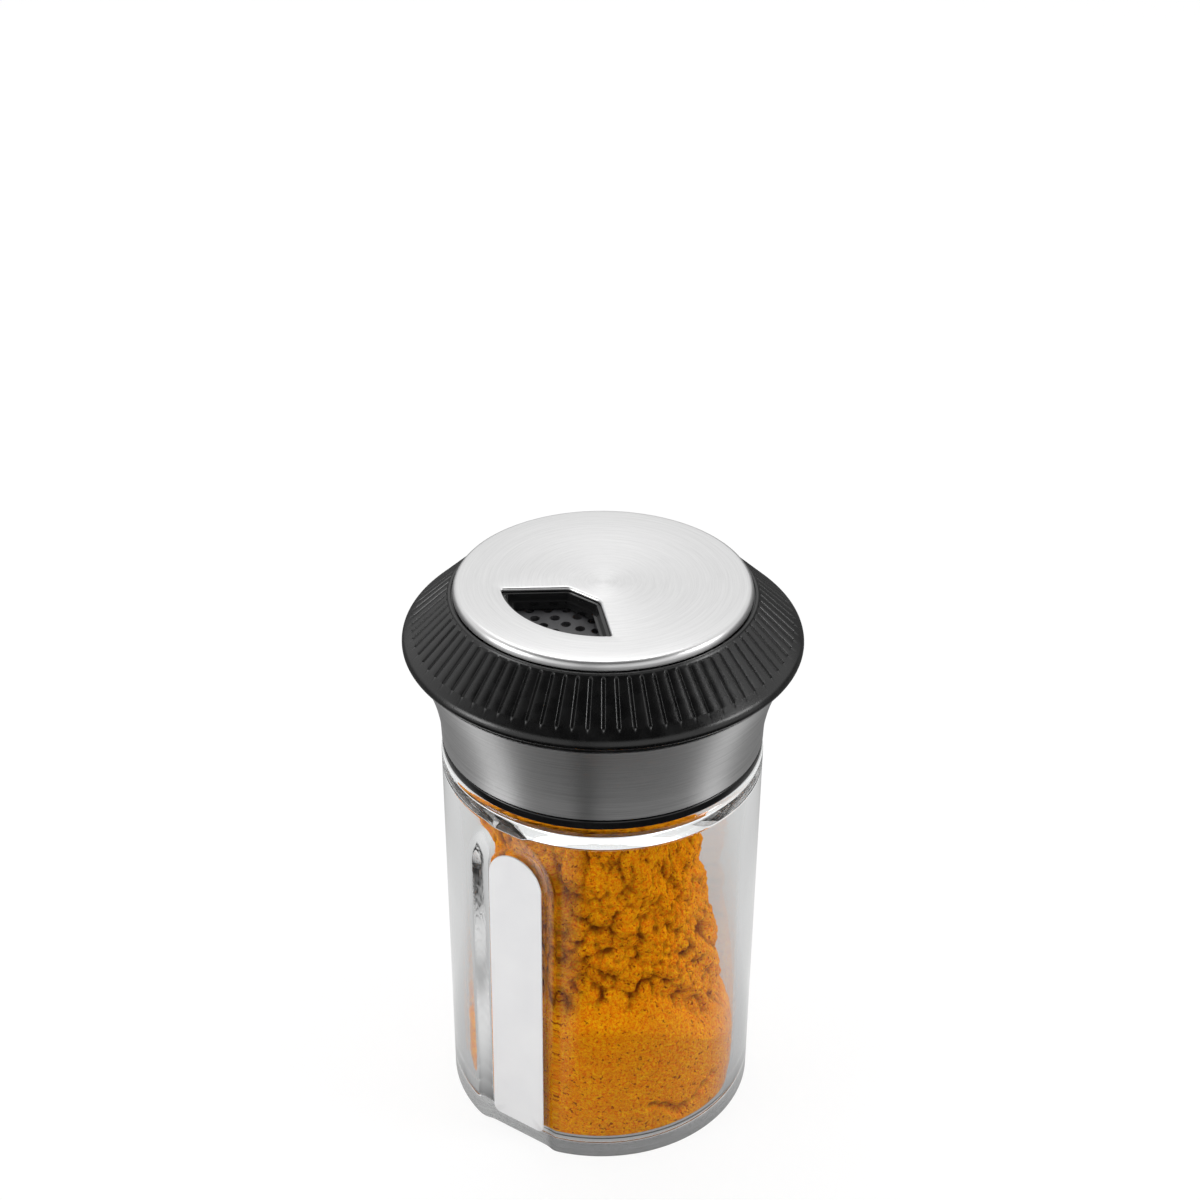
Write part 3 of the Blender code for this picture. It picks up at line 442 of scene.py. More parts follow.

# %% [markdown]
# ## Powder
#
# The powder is a fine orange spice. Packed against the glass it is smooth and bright; between the
# clumps it falls back into shade. The shape carries a number at each point, from 0 at the glass to 1
# in the deepest pit, and the colour darkens with it into a painted brown shade in the hollows.

# %% Powder finish
def spice():
    """Yellow and orange grains, warmer in clumps, with brown specks and painted brown shade in hollows."""
    finish = Finish("spice")
    seat = finish.seat()
    grain = finish.noise(seat, 2200.0, 5.0, 0.75)
    speck = finish.noise(seat, 1100.0, 4.0, 0.65)
    clump = finish.noise(seat, 420.0, 3.0, 0.6)
    hollow_shade = finish.node("ShaderNodeAttribute", {"attribute_name": "hollow_shade"}, out="Fac")
    bright = finish.blend(finish.ramp(grain, 0.42, 0.58), (0.88, 0.17, 0.001), (1.0, 0.5, 0.004))
    warm = finish.blend(finish.ramp(clump, 0.35, 0.65, 0.0, 0.4), bright, (0.75, 0.17, 0.001))
    pitted = finish.blend(finish.ramp(speck, 0.34, 0.4, 0.85, 0.0), warm, (0.2, 0.03, 0.001))
    finish.set(
        # Painted shade: the deeper a hollow in the powder, the browner its colour
        Base_Color=finish.blend(finish.ramp(hollow_shade, 0.3, 0.9, 0.0, 0.88), pitted, (0.16, 0.025, 0.0005)),
        Roughness=finish.ramp(grain, 0.3, 0.7, 0.85, 0.98),
        Specular_IOR_Level=0.02,
        Normal=finish.bump(grain * 0.35 + speck * 0.65, 1.0, 0.0009),
    )
    return finish.material


spice_finish = spice()
print("powder finish ready")

# %% [markdown]
# ## Measures taken from the frame
#
# The CAD nodes say where everything is, so the heights and radii below are read from their boxes and
# the finer surfaces fit exactly where the plain ones were.

# %% Heights and radii
GAP = 0.3 * MM


def span(node):
    """Foot, top and outer radius of a turned node."""
    low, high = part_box(node)
    return low.z, high.z, max(high.x, high.y, -low.x, -low.y)


BAND_FOOT, BAND_TOP, BAND_TOP_RADIUS = span("steel_band")
FOOT_RING_FOOT, FOOT_RING_TOP, FOOT_RING_RADIUS = span("foot_ring")
COLLAR_FOOT, _, COLLAR_RIM_RADIUS = span("lid_collar")
RING_FOOT, RING_TOP, RING_RADIUS = span("grip_ring")
DISC_FOOT, DISC_TOP, DISC_RADIUS = span("top_disc")
_, SIEVE_TOP, SIEVE_RADIUS = span("sieve_plate")
SEAL_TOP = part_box("jar_seal")[1].z
NECK_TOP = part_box("glass_jar")[1].z
LABEL_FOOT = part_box("label")[0].z
WALL_RADIUS = 28.76 * MM
SHOULDER = FOOT_RING_FOOT - GAP
print("band", round(BAND_FOOT / MM, 2), "to", round(BAND_TOP / MM, 2), "shoulder", round(SHOULDER / MM, 2))

# %% [markdown]
# ## Steel band
#
# The band is a sleeve of thin steel. It rises almost straight from the foot ring and flares out more
# and more towards the dial. A smooth curve through a few points gives that flare, and both ends are
# slightly rounded where the sheet was trimmed.

# %% The band's curve
# Share of the band's height, and share of its flare there
FLARE = (
    (0, 0), (0.12, 0.016), (0.24, 0.051), (0.36, 0.136), (0.48, 0.231), (0.6, 0.358), (0.75, 0.551),
    (0.88, 0.776), (1, 1),
)
BAND_THICKNESS = 0.5 * MM
BAND_FOOT_RADIUS = WALL_RADIUS - 0.11 * MM


def band_radius(height):
    """Outer radius of the band at a height: the points of the flare joined by lines, and averaged
    over a short stretch so that no bend is sharp."""
    share = (np.asarray(height) - BAND_FOOT) / (BAND_TOP - BAND_FOOT)
    at, out = np.array(FLARE).T
    slope = np.diff(out) / np.diff(at)
    tried = share[..., None] + np.linspace(-0.07, 0.07, 15)
    # Past either end the first and last lines run on
    beyond = np.minimum(tried, 0) * slope[0] + np.maximum(tried - 1, 0) * slope[-1]
    mean = (np.interp(tried, at, out) + beyond).mean(axis=-1)
    return BAND_FOOT_RADIUS + (BAND_TOP_RADIUS - BAND_FOOT_RADIUS) * mean


def band_outline():
    """Up the outside and down the inside of the sheet."""
    rise = np.linspace(BAND_FOOT, BAND_TOP, 42)
    outside = joined(band_radius(rise), rise)
    inside = outside[::-1] - [BAND_THICKNESS, 0]
    return softened(np.vstack([outside, inside]), 0.12 * MM, 3)


band_points = carried_round(band_outline(), full_turn(240))
make_piece("flared_band", band_points, band_steel, "lid", "steel_band")

# %% [markdown]
# ## Foot ring and inner lid
#
# Under the band sits a glossy black ring, and above it the inner lid shows a thin black rim. The
# inner lid also carries the thread, the web over the seal and the drum for the sieve. These show only
# when the lid is off, but the piece is made whole.

# %% Foot ring
FOOT_RING_BORE = 27.5 * MM


def foot_ring_outline():
    """A rectangle with rounded corners."""
    outer, inner = FOOT_RING_RADIUS, FOOT_RING_BORE
    low, high = FOOT_RING_FOOT, FOOT_RING_TOP
    return softened([(outer, low), (outer, high), (inner, high), (inner, low)], 0.35 * MM, 7)


foot_points = carried_round(foot_ring_outline(), full_turn(240))
make_piece("foot_band", foot_points, polished_plastic, "lid", "foot_ring")

# %% Thread shared by the neck and the inner lid
THREAD_LEAD = 4 * MM
THREAD_HEIGHT = 1 * MM
# Half the rib's width at its foot, and how much of that is a slope
THREAD_HALF = 0.9 * MM
THREAD_SLOPE = 0.5 * MM
# The rib runs out over this share of a turn
THREAD_END = 0.06
THREAD_START = SHOULDER + 2.2 * MM
NECK_TURNS = 1.5
LID_TURNS = 1.25


def thread_height(points, first_height, turns, first_angle=0.0):
    """How far the thread stands out at each point of a grid: the point's angle gives the height of the
    rib's middle, the distance from that middle gives the trapezoid section, and the ends run out."""
    x, y, z = np.moveaxis(points, -1, 0)
    angle = np.mod(np.arctan2(y, x) - first_angle, 2 * np.pi) / (2 * np.pi)
    along = (z - first_height) / THREAD_LEAD
    whole = np.clip(np.round(along - angle), 0, np.ceil(turns) - 1) + angle
    away = np.abs(z - first_height - THREAD_LEAD * whole)
    section = np.clip((THREAD_HALF - away) / THREAD_SLOPE, 0, 1)
    run_out = np.clip(whole / THREAD_END, 0, 1) * np.clip((turns - whole) / THREAD_END, 0, 1)
    return THREAD_HEIGHT * section * run_out


def with_thread(points, rows, way, *thread):
    """Move the chosen rows out (way 1) or in (way -1) by the thread's height."""
    moved = points.copy()
    chosen = points[rows]
    radius = np.hypot(chosen[..., 0], chosen[..., 1])
    grown = (radius + way * thread_height(chosen, *thread)) / radius
    moved[rows, :, :2] = chosen[..., :2] * grown[..., None]
    return moved


# %% Inner lid
def inner_lid_points():
    """The lid's section carried round, with the thread standing inwards on its bore. The section goes
    round the rim, down behind the band, up the bore to the web, in to the ledge under the sieve, up
    and over the drum round the sieve, and out along the web."""
    inset = BAND_THICKNESS + GAP
    wall, bore, skirt = 1.35 * MM, 26.5 * MM, 27.2 * MM
    web_foot = SEAL_TOP + GAP
    web_top = web_foot + 1.6 * MM
    drum, throat, ledge = 24.9 * MM, 23.7 * MM, 21.9 * MM
    sieve = SIEVE_RADIUS + GAP
    ledge_top = SIEVE_TOP - 1.3 * MM - GAP
    ledge_foot = ledge_top - 1.2 * MM
    rim_top = RING_FOOT - GAP
    rise = np.linspace(BAND_TOP + GAP, BAND_FOOT, 14)
    shell = joined(band_radius(np.minimum(rise, BAND_TOP)) - inset, rise)
    outline = softened(np.vstack([
        [(shell[0, 0] - wall, rim_top), (COLLAR_RIM_RADIUS, rim_top), (COLLAR_RIM_RADIUS, BAND_TOP + GAP)],
        shell,
        [(skirt, BAND_FOOT), (skirt, COLLAR_FOOT)],
        joined(bore, np.linspace(COLLAR_FOOT, web_foot, 52)),
        [(throat, web_foot), (throat, ledge_foot), (ledge, ledge_foot), (ledge, ledge_top)],
        [(sieve, ledge_top), (sieve, SIEVE_TOP), (drum, SIEVE_TOP), (drum, web_top)],
        [(float(band_radius(web_top)) - inset - wall, web_top)],
    ]), 0.2 * MM, 4)
    points = carried_round(outline, full_turn(220))
    radius, height = outline.T
    rows = np.flatnonzero((np.abs(radius - bore) < 0.01 * MM) & (height < web_foot - GAP))
    # The lid's rib ends 0.4 of a turn below the end of the neck's
    first = THREAD_START + THREAD_LEAD * (NECK_TURNS - 0.4 - LID_TURNS)
    return with_thread(points, rows, -1, first, LID_TURNS, np.radians(90))


make_piece("inner_lid", inner_lid_points(), polished_plastic, "lid", "lid_collar")

# %% [markdown]
# ## Grip ring
#
# The ring is a cone over a round bulge, and 81 short grooves run down the cone for the fingers. A
# groove has a constant width while the cone grows, so the columns of the grid are set by distance
# from the groove's middle line and not by angle. Rows are close together only where grooves end.

# %% The ring's section
GROOVES = 81
# Which way the window looks, in degrees; the grooves stand a little off it
DIAL_AZIMUTH = -93.6
GROOVE_PHASE = np.radians(DIAL_AZIMUTH - 1.19)
# Distance from a groove's middle line and its depth there, joined by straight lines
GROOVE_REACH = np.array([0.17, 0.268, 0.38]) * MM
GROOVE_DEPTH = np.array([0.25, 0.065, 0]) * MM
# Where the grid's columns stand on either side of the middle line
GROOVE_COLUMNS = np.array([0.1, 0.165, 0.175, 0.262, 0.275, 0.37, 0.385]) * MM
# Where the grooves start and end, as shares of the way down the cone
GROOVE_START, GROOVE_END = 0.05, 0.83
# Ends of each stretch of rows down the cone, and how many rows are in it
CONE_ROWS = ((0, 0.03, 2), (0.03, 0.1, 9), (0.1, 0.78, 5), (0.78, 0.86, 9))
BULGE = 1.77 * MM
BULGE_RISE = 0.96 * MM
LIP_RADIUS = DISC_RADIUS + GAP + 0.6 * MM
LEDGE = RING_TOP - 0.3 * MM


def ring_section():
    """The outline; for each of its points the share of the way down the cone, or -1 off it; the cone's
    normal and its length. The cone touches the bulge: seen from the bulge's middle, the place lies
    towards the lip, turned by the angle whose cosine is the bulge's radius over the lip's distance."""
    lip = np.array([LIP_RADIUS, LEDGE])
    centre = np.array([RING_RADIUS - BULGE, RING_FOOT + BULGE_RISE])
    away = lip - centre
    turn = np.arctan2(away[1], away[0]) - np.arccos(BULGE / np.hypot(*away))
    start = centre + BULGE * np.array([np.cos(turn), np.sin(turn)])
    stretches = [np.linspace(low, high, count, endpoint=False) for low, high, count in CONE_ROWS]
    shares = np.concatenate([*stretches, np.linspace(0.86, 1, 3)])
    length = np.hypot(*(start - lip))
    down = (start - lip) / length
    normal = np.array([-down[1], down[0]])
    foot_round = 0.9 * MM
    foot_inside = RING_RADIUS - 3.1 * MM
    bore = DISC_RADIUS - 0.5 * MM
    # The back of the cone lies 2.2 mm behind its front
    inner = lip - normal * 2.2 * MM
    back_height = [inner[1] + (radius - inner[0]) * (down[1] / down[0]) for radius in (foot_inside, bore)]
    seat = DISC_RADIUS + GAP
    lip_corners = [(seat, LEDGE), (seat, RING_TOP), (LIP_RADIUS - 0.12 * MM, RING_TOP), (LIP_RADIUS, LEDGE)]
    lip_top = softened(lip_corners, 0.14 * MM, 4)[4:12]
    outline = np.vstack([
        lip_top,
        lip + shares[:, None] * (start - lip),
        arc(centre, BULGE, turn, 0, 10)[1:],
        arc((RING_RADIUS - foot_round, centre[1]), (foot_round, centre[1] - RING_FOOT), 0, -np.pi / 2, 8)[1:],
        [(foot_inside, RING_FOOT), (foot_inside, back_height[0]), (bore, back_height[1]), (bore, LEDGE)],
        [(seat, LEDGE)],
    ])
    on_cone = np.full(len(outline), -1.0)
    on_cone[len(lip_top):len(lip_top) + len(shares)] = shares
    return outline, on_cone, normal, length


def ring_points():
    """Columns stand at set distances from each groove's middle line, and one stands halfway to the
    next groove. A point sinks along the cone's normal by a depth that falls in straight lines with
    its distance to the middle line, and past a groove's end to the end of that line."""
    outline, on_cone, normal, length = ring_section()
    radius, height = outline.T[..., None]
    pitch = 2 * np.pi / GROOVES
    across = np.concatenate([-GROOVE_COLUMNS[::-1], [0], GROOVE_COLUMNS])
    angle = np.hstack([across / radius, np.full(radius.shape, pitch / 2)])
    beyond = np.maximum(np.maximum(GROOVE_START - on_cone, on_cone - GROOVE_END), 0) * length
    distance = np.hypot(np.append(across, 2 * MM), beyond[:, None])
    depth = np.interp(distance, GROOVE_REACH, GROOVE_DEPTH)
    turns = GROOVE_PHASE + pitch * np.arange(GROOVES)[:, None] + angle[:, None, :]
    r = (radius - depth * normal[0])[:, None, :]
    z = (height - depth * normal[1])[:, None, :]
    return joined(r * np.cos(turns), r * np.sin(turns), z).reshape(len(outline), -1, 3)


make_piece("grooved_ring", ring_points(), grained_plastic, "dial", "grip_ring")

# %% [markdown]
# ## Steel cap with its window
#
# The cap is pressed from thin sheet. Its edge turns down in a small round, and the window's inner
# and side edges are rolled down too, so they catch a soft line of light. Every point of the window's
# outline is joined to the rim by a ray from the window's middle, which gives a grid with no gaps.

# %% The window's outline
# Radius of the outer arc, distance and half length of the inner edge, and half the sides' angle
WINDOW_OUTER = 17.8 * MM
WINDOW_EDGE = 5.15 * MM
WINDOW_EDGE_HALF = 3.4 * MM
WINDOW_SIDE = np.radians(48.4)
WINDOW_MIDDLE = np.array([11.5 * MM, 0])
WINDOW_POINTS = 360
# The sheet's thickness, and the radius of the cap's round edge
SHEET = 0.5 * MM
CAP_EDGE = 1.1 * MM


def window_outline():
    """Closed outline with its bisector along +X, evenly spaced: a straight inner edge, two straight
    sides and an arc about the axis, with round corners."""
    side = np.array([np.cos(WINDOW_SIDE), np.sin(WINDOW_SIDE)])
    inner = np.array([WINDOW_EDGE, WINDOW_EDGE_HALF])
    along = inner @ side
    outer = inner + side * (np.sqrt(WINDOW_OUTER ** 2 - inner @ inner + along ** 2) - along)
    end = np.arctan2(outer[1], outer[0])
    # A long step at a corner needs long sides, so the arc leaves out the points next to its ends
    sweep = np.delete(np.linspace(-end, end, 60), [1, 2, 57, 58])
    rim = WINDOW_OUTER * joined(np.cos(sweep), np.sin(sweep))
    corners = np.vstack([rim, [inner], [inner * (1, -1)]])
    soft = np.full(len(corners), 0.05 * MM)
    soft[[0, -3, -2, -1]] = 0.7 * MM
    loop = softened(corners, soft, 7)
    closed = np.vstack([loop, loop[:1]])
    run = np.concatenate([[0], np.cumsum(np.hypot(*np.diff(closed, axis=0).T))])
    even = np.linspace(0, run[-1], WINDOW_POINTS, endpoint=False)
    return joined(*(np.interp(even, run, closed[:, i]) for i in range(2)))


def turned_by(points, angle):
    """Turn (x, y) points about the axis."""
    turn = np.array([[np.cos(angle), np.sin(angle)], [-np.sin(angle), np.cos(angle)]])
    return points @ turn


def cap_points():
    """Rows run from the window's lower edge up and over its roll, out to the rim, down, and back
    underneath. A row is a distance along the rays from the window's middle, and a height."""
    outline = window_outline()
    ray = outline - WINDOW_MIDDLE
    start = np.hypot(*ray.T)
    ray /= start[:, None]
    along = (WINDOW_MIDDLE * ray).sum(axis=1)
    reach = np.sqrt(DISC_RADIUS ** 2 - WINDOW_MIDDLE @ WINDOW_MIDDLE + along ** 2) - along
    # The rolled edge is wide inside and at the sides, and tight on the outer arc
    roll = np.where(np.hypot(*outline.T) > WINDOW_OUTER - 0.2 * MM, 0.12, 0.5) * MM
    roll = np.convolve(np.concatenate([roll[-4:], roll, roll[:4]]), np.ones(9) / 9, "valid")
    fold = CAP_EDGE - SHEET
    quarter = [(1 - np.cos(turn), 1 - np.sin(turn)) for turn in np.linspace(0, np.pi / 2, 8)]
    rows = [(start + roll * out, DISC_TOP - roll * down) for out, down in quarter]
    rows += [(start + roll + (reach - CAP_EDGE - start - roll) * share, DISC_TOP) for share in (0.3, 0.65)]
    rows += [(reach - CAP_EDGE * back, DISC_TOP - CAP_EDGE * down) for down, back in quarter]
    rows += [(reach, DISC_FOOT + 0.05 * MM), (reach - 0.05 * MM, DISC_FOOT), (reach - SHEET, DISC_FOOT)]
    rows += [(reach - SHEET - fold * back, DISC_TOP - SHEET - fold * down) for back, down in quarter]
    rows += [(start + 0.55 * MM, DISC_TOP - SHEET), (start + 0.05 * MM, DISC_TOP - SHEET - 0.15 * MM)]
    distance, height = np.moveaxis(np.stack([joined(*row) for row in rows]), -1, 0)
    flat = (WINDOW_MIDDLE + ray * distance[..., None]).reshape(-1, 2)
    flat = turned_by(flat, np.radians(DIAL_AZIMUTH)).reshape(*distance.shape, 2)
    return np.concatenate([flat, height[..., None]], axis=-1)


make_piece("steel_cap", cap_points(), cap_steel, "dial", "top_disc", sharp=40)

# %% [markdown]
# ## The glass jar
#
# The jar is pressed in a mould: a round body with a thick base, a neck with a screw thread, and an
# arched recess for the label that runs down through the base. The recess is a plane with a sloping
# rim, and where it lies inside the round wall the surface follows it, with a soft change from one to
# the other as molten glass has. A shallower flat lies behind it, inside the jar.

# %% The recess as a function
INNER_RADIUS = 25.4 * MM
LABEL_HALF = 5.65 * MM
LABEL_TOP = 64.3 * MM
ARCH_CENTRE = LABEL_TOP - LABEL_HALF
# Each flat: its distance from the axis, half its width, and how far its rim runs out as it rises by one
RECESS = (WALL_RADIUS - 2.71 * MM, LABEL_HALF + 0.8 * MM, 2.6)
INNER_FLAT = (24.5 * MM, LABEL_HALF + 0.9 * MM, 2.2)
POWDER_FLAT = (24.2 * MM, *INNER_FLAT[1:])


def soft_least(a, b, softness):
    """The smaller of two lengths, rounded where they are nearly equal: half of a + b minus the root of
    (a - b) squared plus the softness squared."""
    return (a + b - np.sqrt((a - b) ** 2 + softness ** 2)) / 2


def flat_radius(angle, height, flat):
    """Distance from the axis at which a level ray at each angle meets an arched flat with a sloping
    rim. The ray's reach towards the label is the flat's, plus what the point lies outside the arch
    over the flare. That depends on the distance itself, so it is found by trying again and again."""
    reach, half, flare = flat
    across, towards = np.cos(angle), -np.sin(angle)
    facing = towards > 0.5
    towards = np.where(facing, towards, 1)
    over = np.maximum(height - ARCH_CENTRE, 0)
    radius = reach / towards
    for _ in range(14):
        outside = np.hypot(radius * across, over) - half
        outside = (outside + np.sqrt(outside ** 2 + (0.5 * MM) ** 2)) / 2
        radius = (reach + outside / flare) / towards
    return np.where(facing, radius, 2 * WALL_RADIUS)


def pressed_in(points, angles, flat, softness):
    """Move a grid of points in to a flat where they lie outside it."""
    radius = np.hypot(points[..., 0], points[..., 1])
    within = soft_least(radius, flat_radius(angles, points[..., 2], flat), softness)
    moved = points.copy()
    moved[..., :2] *= (within / radius)[..., None]
    return moved


# %% The jar's outside and inside
NECK_RADIUS = 25.2 * MM
NECK_BORE = 22.6 * MM
NECK_ROUND = 0.7 * MM
NECK_ROOT = 0.5 * MM
SHOULDER_ROUND = 1.1 * MM
HEEL = 0.8 * MM
BASE_RADIUS = WALL_RADIUS - 0.6 * MM
BASE_HOLLOW = 0.9 * MM
JAR_FLOOR = 3 * MM
FLOOR_CORNER = 0.9 * MM
# The slanted shoulder inside: its foot's place below the shoulder, and its rise
CONE_DROP = 5.35 * MM
CONE_RISE = 1.72 * MM


def jar_outside():
    """From the middle of the underside out, up the wall, over the shoulder and up the neck."""
    corners = [(0, BASE_HOLLOW), (19.6 * MM, BASE_HOLLOW), (20.5 * MM, 0), (26 * MM, 0), (26 * MM, 9 * MM)]
    under = softened(corners, 0.5 * MM, 5)[5:15]
    heel = arc((BASE_RADIUS - HEEL, HEEL), HEEL, -np.pi / 2, 0, 10)
    rise = np.linspace(HEEL, SHOULDER - SHOULDER_ROUND, 150)[1:]
    wall = joined(BASE_RADIUS + (WALL_RADIUS - BASE_RADIUS) * (rise - rise[0]) / (rise[-1] - rise[0]), rise)
    turn = (WALL_RADIUS - SHOULDER_ROUND, SHOULDER - SHOULDER_ROUND)
    shoulder = arc(turn, SHOULDER_ROUND, 0, np.pi / 2, 9)[1:]
    root = arc((NECK_RADIUS + NECK_ROOT, SHOULDER + NECK_ROOT), NECK_ROOT, -np.pi / 2, -np.pi, 5)
    neck = joined(NECK_RADIUS, np.linspace(SHOULDER + NECK_ROOT, NECK_TOP - NECK_ROUND, 46)[1:])
    return under, np.vstack([heel, wall, shoulder]), root, neck


def jar_inside():
    """From the rim down the neck, out under the shoulder, down the wall and in over the floor."""
    rim = arc((NECK_RADIUS - NECK_ROUND, NECK_TOP - NECK_ROUND), NECK_ROUND, 0, np.pi / 2, 6)
    lip = arc((NECK_BORE + NECK_ROUND, NECK_TOP - NECK_ROUND), NECK_ROUND, np.pi / 2, np.pi, 6)
    cone_foot = SHOULDER - CONE_DROP
    corners = [(NECK_BORE, NECK_TOP), (NECK_BORE, cone_foot + CONE_RISE), (INNER_RADIUS, cone_foot),
               (INNER_RADIUS, JAR_FLOOR)]
    cone = softened(corners, 0.25 * MM, 9)[9:27]
    wall = joined(INNER_RADIUS, np.linspace(cone_foot - 1 * MM, JAR_FLOOR + FLOOR_CORNER, 9)[1:])
    corner = arc((INNER_RADIUS - FLOOR_CORNER, JAR_FLOOR + FLOOR_CORNER), FLOOR_CORNER, 0, -np.pi / 2, 12)[1:]
    return np.vstack([rim[1:], lip, cone, wall, corner])


def jar_points():
    """Outside and inside as one grid, pressed in to the recess and to the flat behind it. Its columns
    are close together at the recess and wider round the rest."""
    front = np.linspace(-125, -55, 130, endpoint=False)
    angles = np.radians(np.concatenate([front, np.linspace(-55, 235, 116, endpoint=False)]))
    under, outer, root, neck = jar_outside()
    body = pressed_in(carried_round(outer, angles), angles, RECESS, 0.35 * MM)
    inside = carried_round(jar_inside(), angles)
    # Neither the neck nor the floor's middle has a flat
    reached = (np.hypot(inside[..., 0], inside[..., 1]) > 22 * MM) & (inside[..., 2] < SHOULDER)
    inside = np.where(reached[..., None], pressed_in(inside, angles, INNER_FLAT, 0.3 * MM), inside)
    above = carried_round(np.vstack([root, neck]), angles)
    points = np.vstack([carried_round(under, angles), body, above, inside])
    first = len(under) + len(outer) + len(root)
    return with_thread(points, np.arange(first, first + len(neck)), 1, THREAD_START, NECK_TURNS)


make_piece("pressed_jar", jar_points(), glass, "jar", "glass_jar", looped=False)

# %% [markdown]
# ## Label
#
# A stiff writing label with an arched top and round lower corners lies in the recess. It is a flat
# outline with a hair of rounding at its edge, closed in front and behind.

# %% Label shape
LABEL_CORNER = 1.3 * MM
LABEL_BACK = RECESS[0] + 0.25 * MM
LABEL_FRONT = RECESS[0] + 0.55 * MM
# Share of the outline's size and depth: from the back's middle, round the edge, to the front's
LABEL_ROWS = (
    (0.5, LABEL_BACK), (0.99, LABEL_BACK), (1, LABEL_BACK + 0.05 * MM),
    (1, LABEL_FRONT - 0.08 * MM), (0.99, LABEL_FRONT), (0.5, LABEL_FRONT),
)


def label_points():
    """An arch outline drawn at a few insets and depths: from the middle of the back, out to the
    edge, round it, and in again over the front. The inset shrinks the outline about its spine."""
    half = LABEL_HALF
    side = np.linspace(ARCH_CENTRE, LABEL_FOOT + LABEL_CORNER, 30)[1:-1]
    low = LABEL_FOOT + LABEL_CORNER
    outline = np.vstack([
        arc((0, ARCH_CENTRE), half, 0, np.pi, 60),
        joined(-half, side),
        arc((-half + LABEL_CORNER, low), LABEL_CORNER, np.pi, 1.5 * np.pi, 10),
        arc((half - LABEL_CORNER, low), LABEL_CORNER, 1.5 * np.pi, 2 * np.pi, 10),
        joined(half, side[::-1]),
    ])
    spine = joined(0.0, np.clip(outline[:, 1], LABEL_FOOT + half, ARCH_CENTRE))
    share, depth = np.array(LABEL_ROWS).T[..., None]
    across, up = np.moveaxis(spine + (outline - spine) * share[..., None], -1, 0)
    return joined(across, -depth, up)


make_piece("writing_label", label_points(), paper, "jar", "label", looped=False)

# %% [markdown]
# ## Powder
#
# Ground spice sticks together in crumbs. Seen through the glass, the crumbs touch the wall and shine,
# and the gaps between them fall back into shade. Two kinds of noise make this: a scatter of seeds
# gives each crumb its own dome, and a smooth noise bends the rows of crumbs and tears the crack's edge.

# %% Noise on the jar's wall
def chance(first, second, seed):
    """A fixed number from 0 to 1 for each pair of whole numbers, from mixing their bits."""
    mixed = (first.astype(np.int64) * 374761393 + second.astype(np.int64) * 668265263 + seed * 974634777)
    mixed = (mixed & 0xFFFFFFFF).astype(np.uint64)
    mixed = ((mixed ^ (mixed >> np.uint64(13))) * np.uint64(1274126177)) & np.uint64(0xFFFFFFFF)
    mixed = mixed ^ (mixed >> np.uint64(16))
    return mixed.astype(float) / 0xFFFFFFFF


def smooth_step(t):
    """The curve 3t^2 - 2t^3, level at 0 and at 1 and beyond them."""
    t = np.clip(t, 0, 1)
    return t ** 2 * (3 - 2 * t)


def smooth_noise(u, v, around, seed):
    """Random numbers on a grid of whole places, joined by smooth steps. It repeats in u after the
    given number of places."""
    low_u, low_v = np.floor(u), np.floor(v)
    tu, tv = smooth_step(u - low_u), smooth_step(v - low_v)
    value = [[chance((low_u + i) % around, low_v + j, seed) for i in (0, 1)] for j in (0, 1)]
    near, far = (first * (1 - tu) + second * tu for first, second in value)
    return near * (1 - tv) + far * tv


def crumbs(u, v, around, seed):
    """Distance to the nearest seed, and that seed's own number from 0 to 1. Each whole place holds
    one seed, and the nine places round a point are tried."""
    low_u, low_v = np.floor(u), np.floor(v)
    nearest, tag = np.full(u.shape, 9.0), np.zeros(u.shape)
    for i in (-1, 0, 1):
        for j in (-1, 0, 1):
            cell_u, cell_v = low_u + i, low_v + j
            right, up, own = (chance(cell_u % around, cell_v, seed + k) for k in range(3))
            distance = np.hypot(u - (cell_u + right), v - (cell_v + up))
            tag = np.where(distance < nearest, own, tag)
            nearest = np.minimum(nearest, distance)
    return nearest, tag


def layered(u, v, size, seed, kind=crumbs):
    """Call a noise with cells of about the size, so that a whole number of them goes round the jar."""
    around = round(2 * np.pi * POWDER_RADIUS / size)
    step = 2 * np.pi * POWDER_RADIUS / around
    return kind(u / step, v / size, around, seed)


# %% Powder shape
POWDER_RADIUS = INNER_RADIUS - GAP
POWDER_FLOOR = JAR_FLOOR + GAP
POWDER_LEVEL = 65.0 * MM
POWDER_CORNER = 0.9 * MM
# How far the loose powder stands back from the glass
POWDER_SETBACK = 3.0 * MM
# Towards the top's slip, and towards the side where the powder has packed highest
TOP_SLIP_AZIMUTH = np.radians(28)
PACKED_AZIMUTH = np.radians(-55)
# The slip of the right side: its middle line, its depth, and the share of the height at its foot
SIDE_SLIP_AZIMUTH = np.radians(20)
SIDE_SLIP_DEPTH = 6.5 * MM
SIDE_SLIP_FOOT = 0.5
LUMP_HEIGHT = 1.0 * MM
# The clods' waves: how many go round the jar and up it, and their share of the clods' height
LUMP_SHARES = ((13, 5, 0.4), (17, -3, 0.35), (7, 8, 0.25))
# Height at which the crumbs start to hang in ridges, and over how much height they go over to it
HANG_FOOT, HANG_RISE = 50 * MM, 12 * MM
RIM_ROUND = 1.2 * MM
# Relief at which the painted shade of a hollow is darkest in the powder's finish
FULL_SHADE_RELIEF = 1.5 * MM
# A crack low down on the right, as azimuth in degrees and height in millimetres
CRACK = ((-33, 9.6), (-26, 8.1), (-21, 6.4), (-14.5, 6.9), (-10.5, 8.6), (-3, 10.4))


def powder_top(x, y):
    """Height of the heap: level, with a slip down one side."""
    along = (x * np.cos(TOP_SLIP_AZIMUTH) + y * np.sin(TOP_SLIP_AZIMUTH)) / POWDER_RADIUS
    return POWDER_FLOOR + POWDER_LEVEL * (1 - 0.14 * smooth_step((along - 0.55) / 0.45))


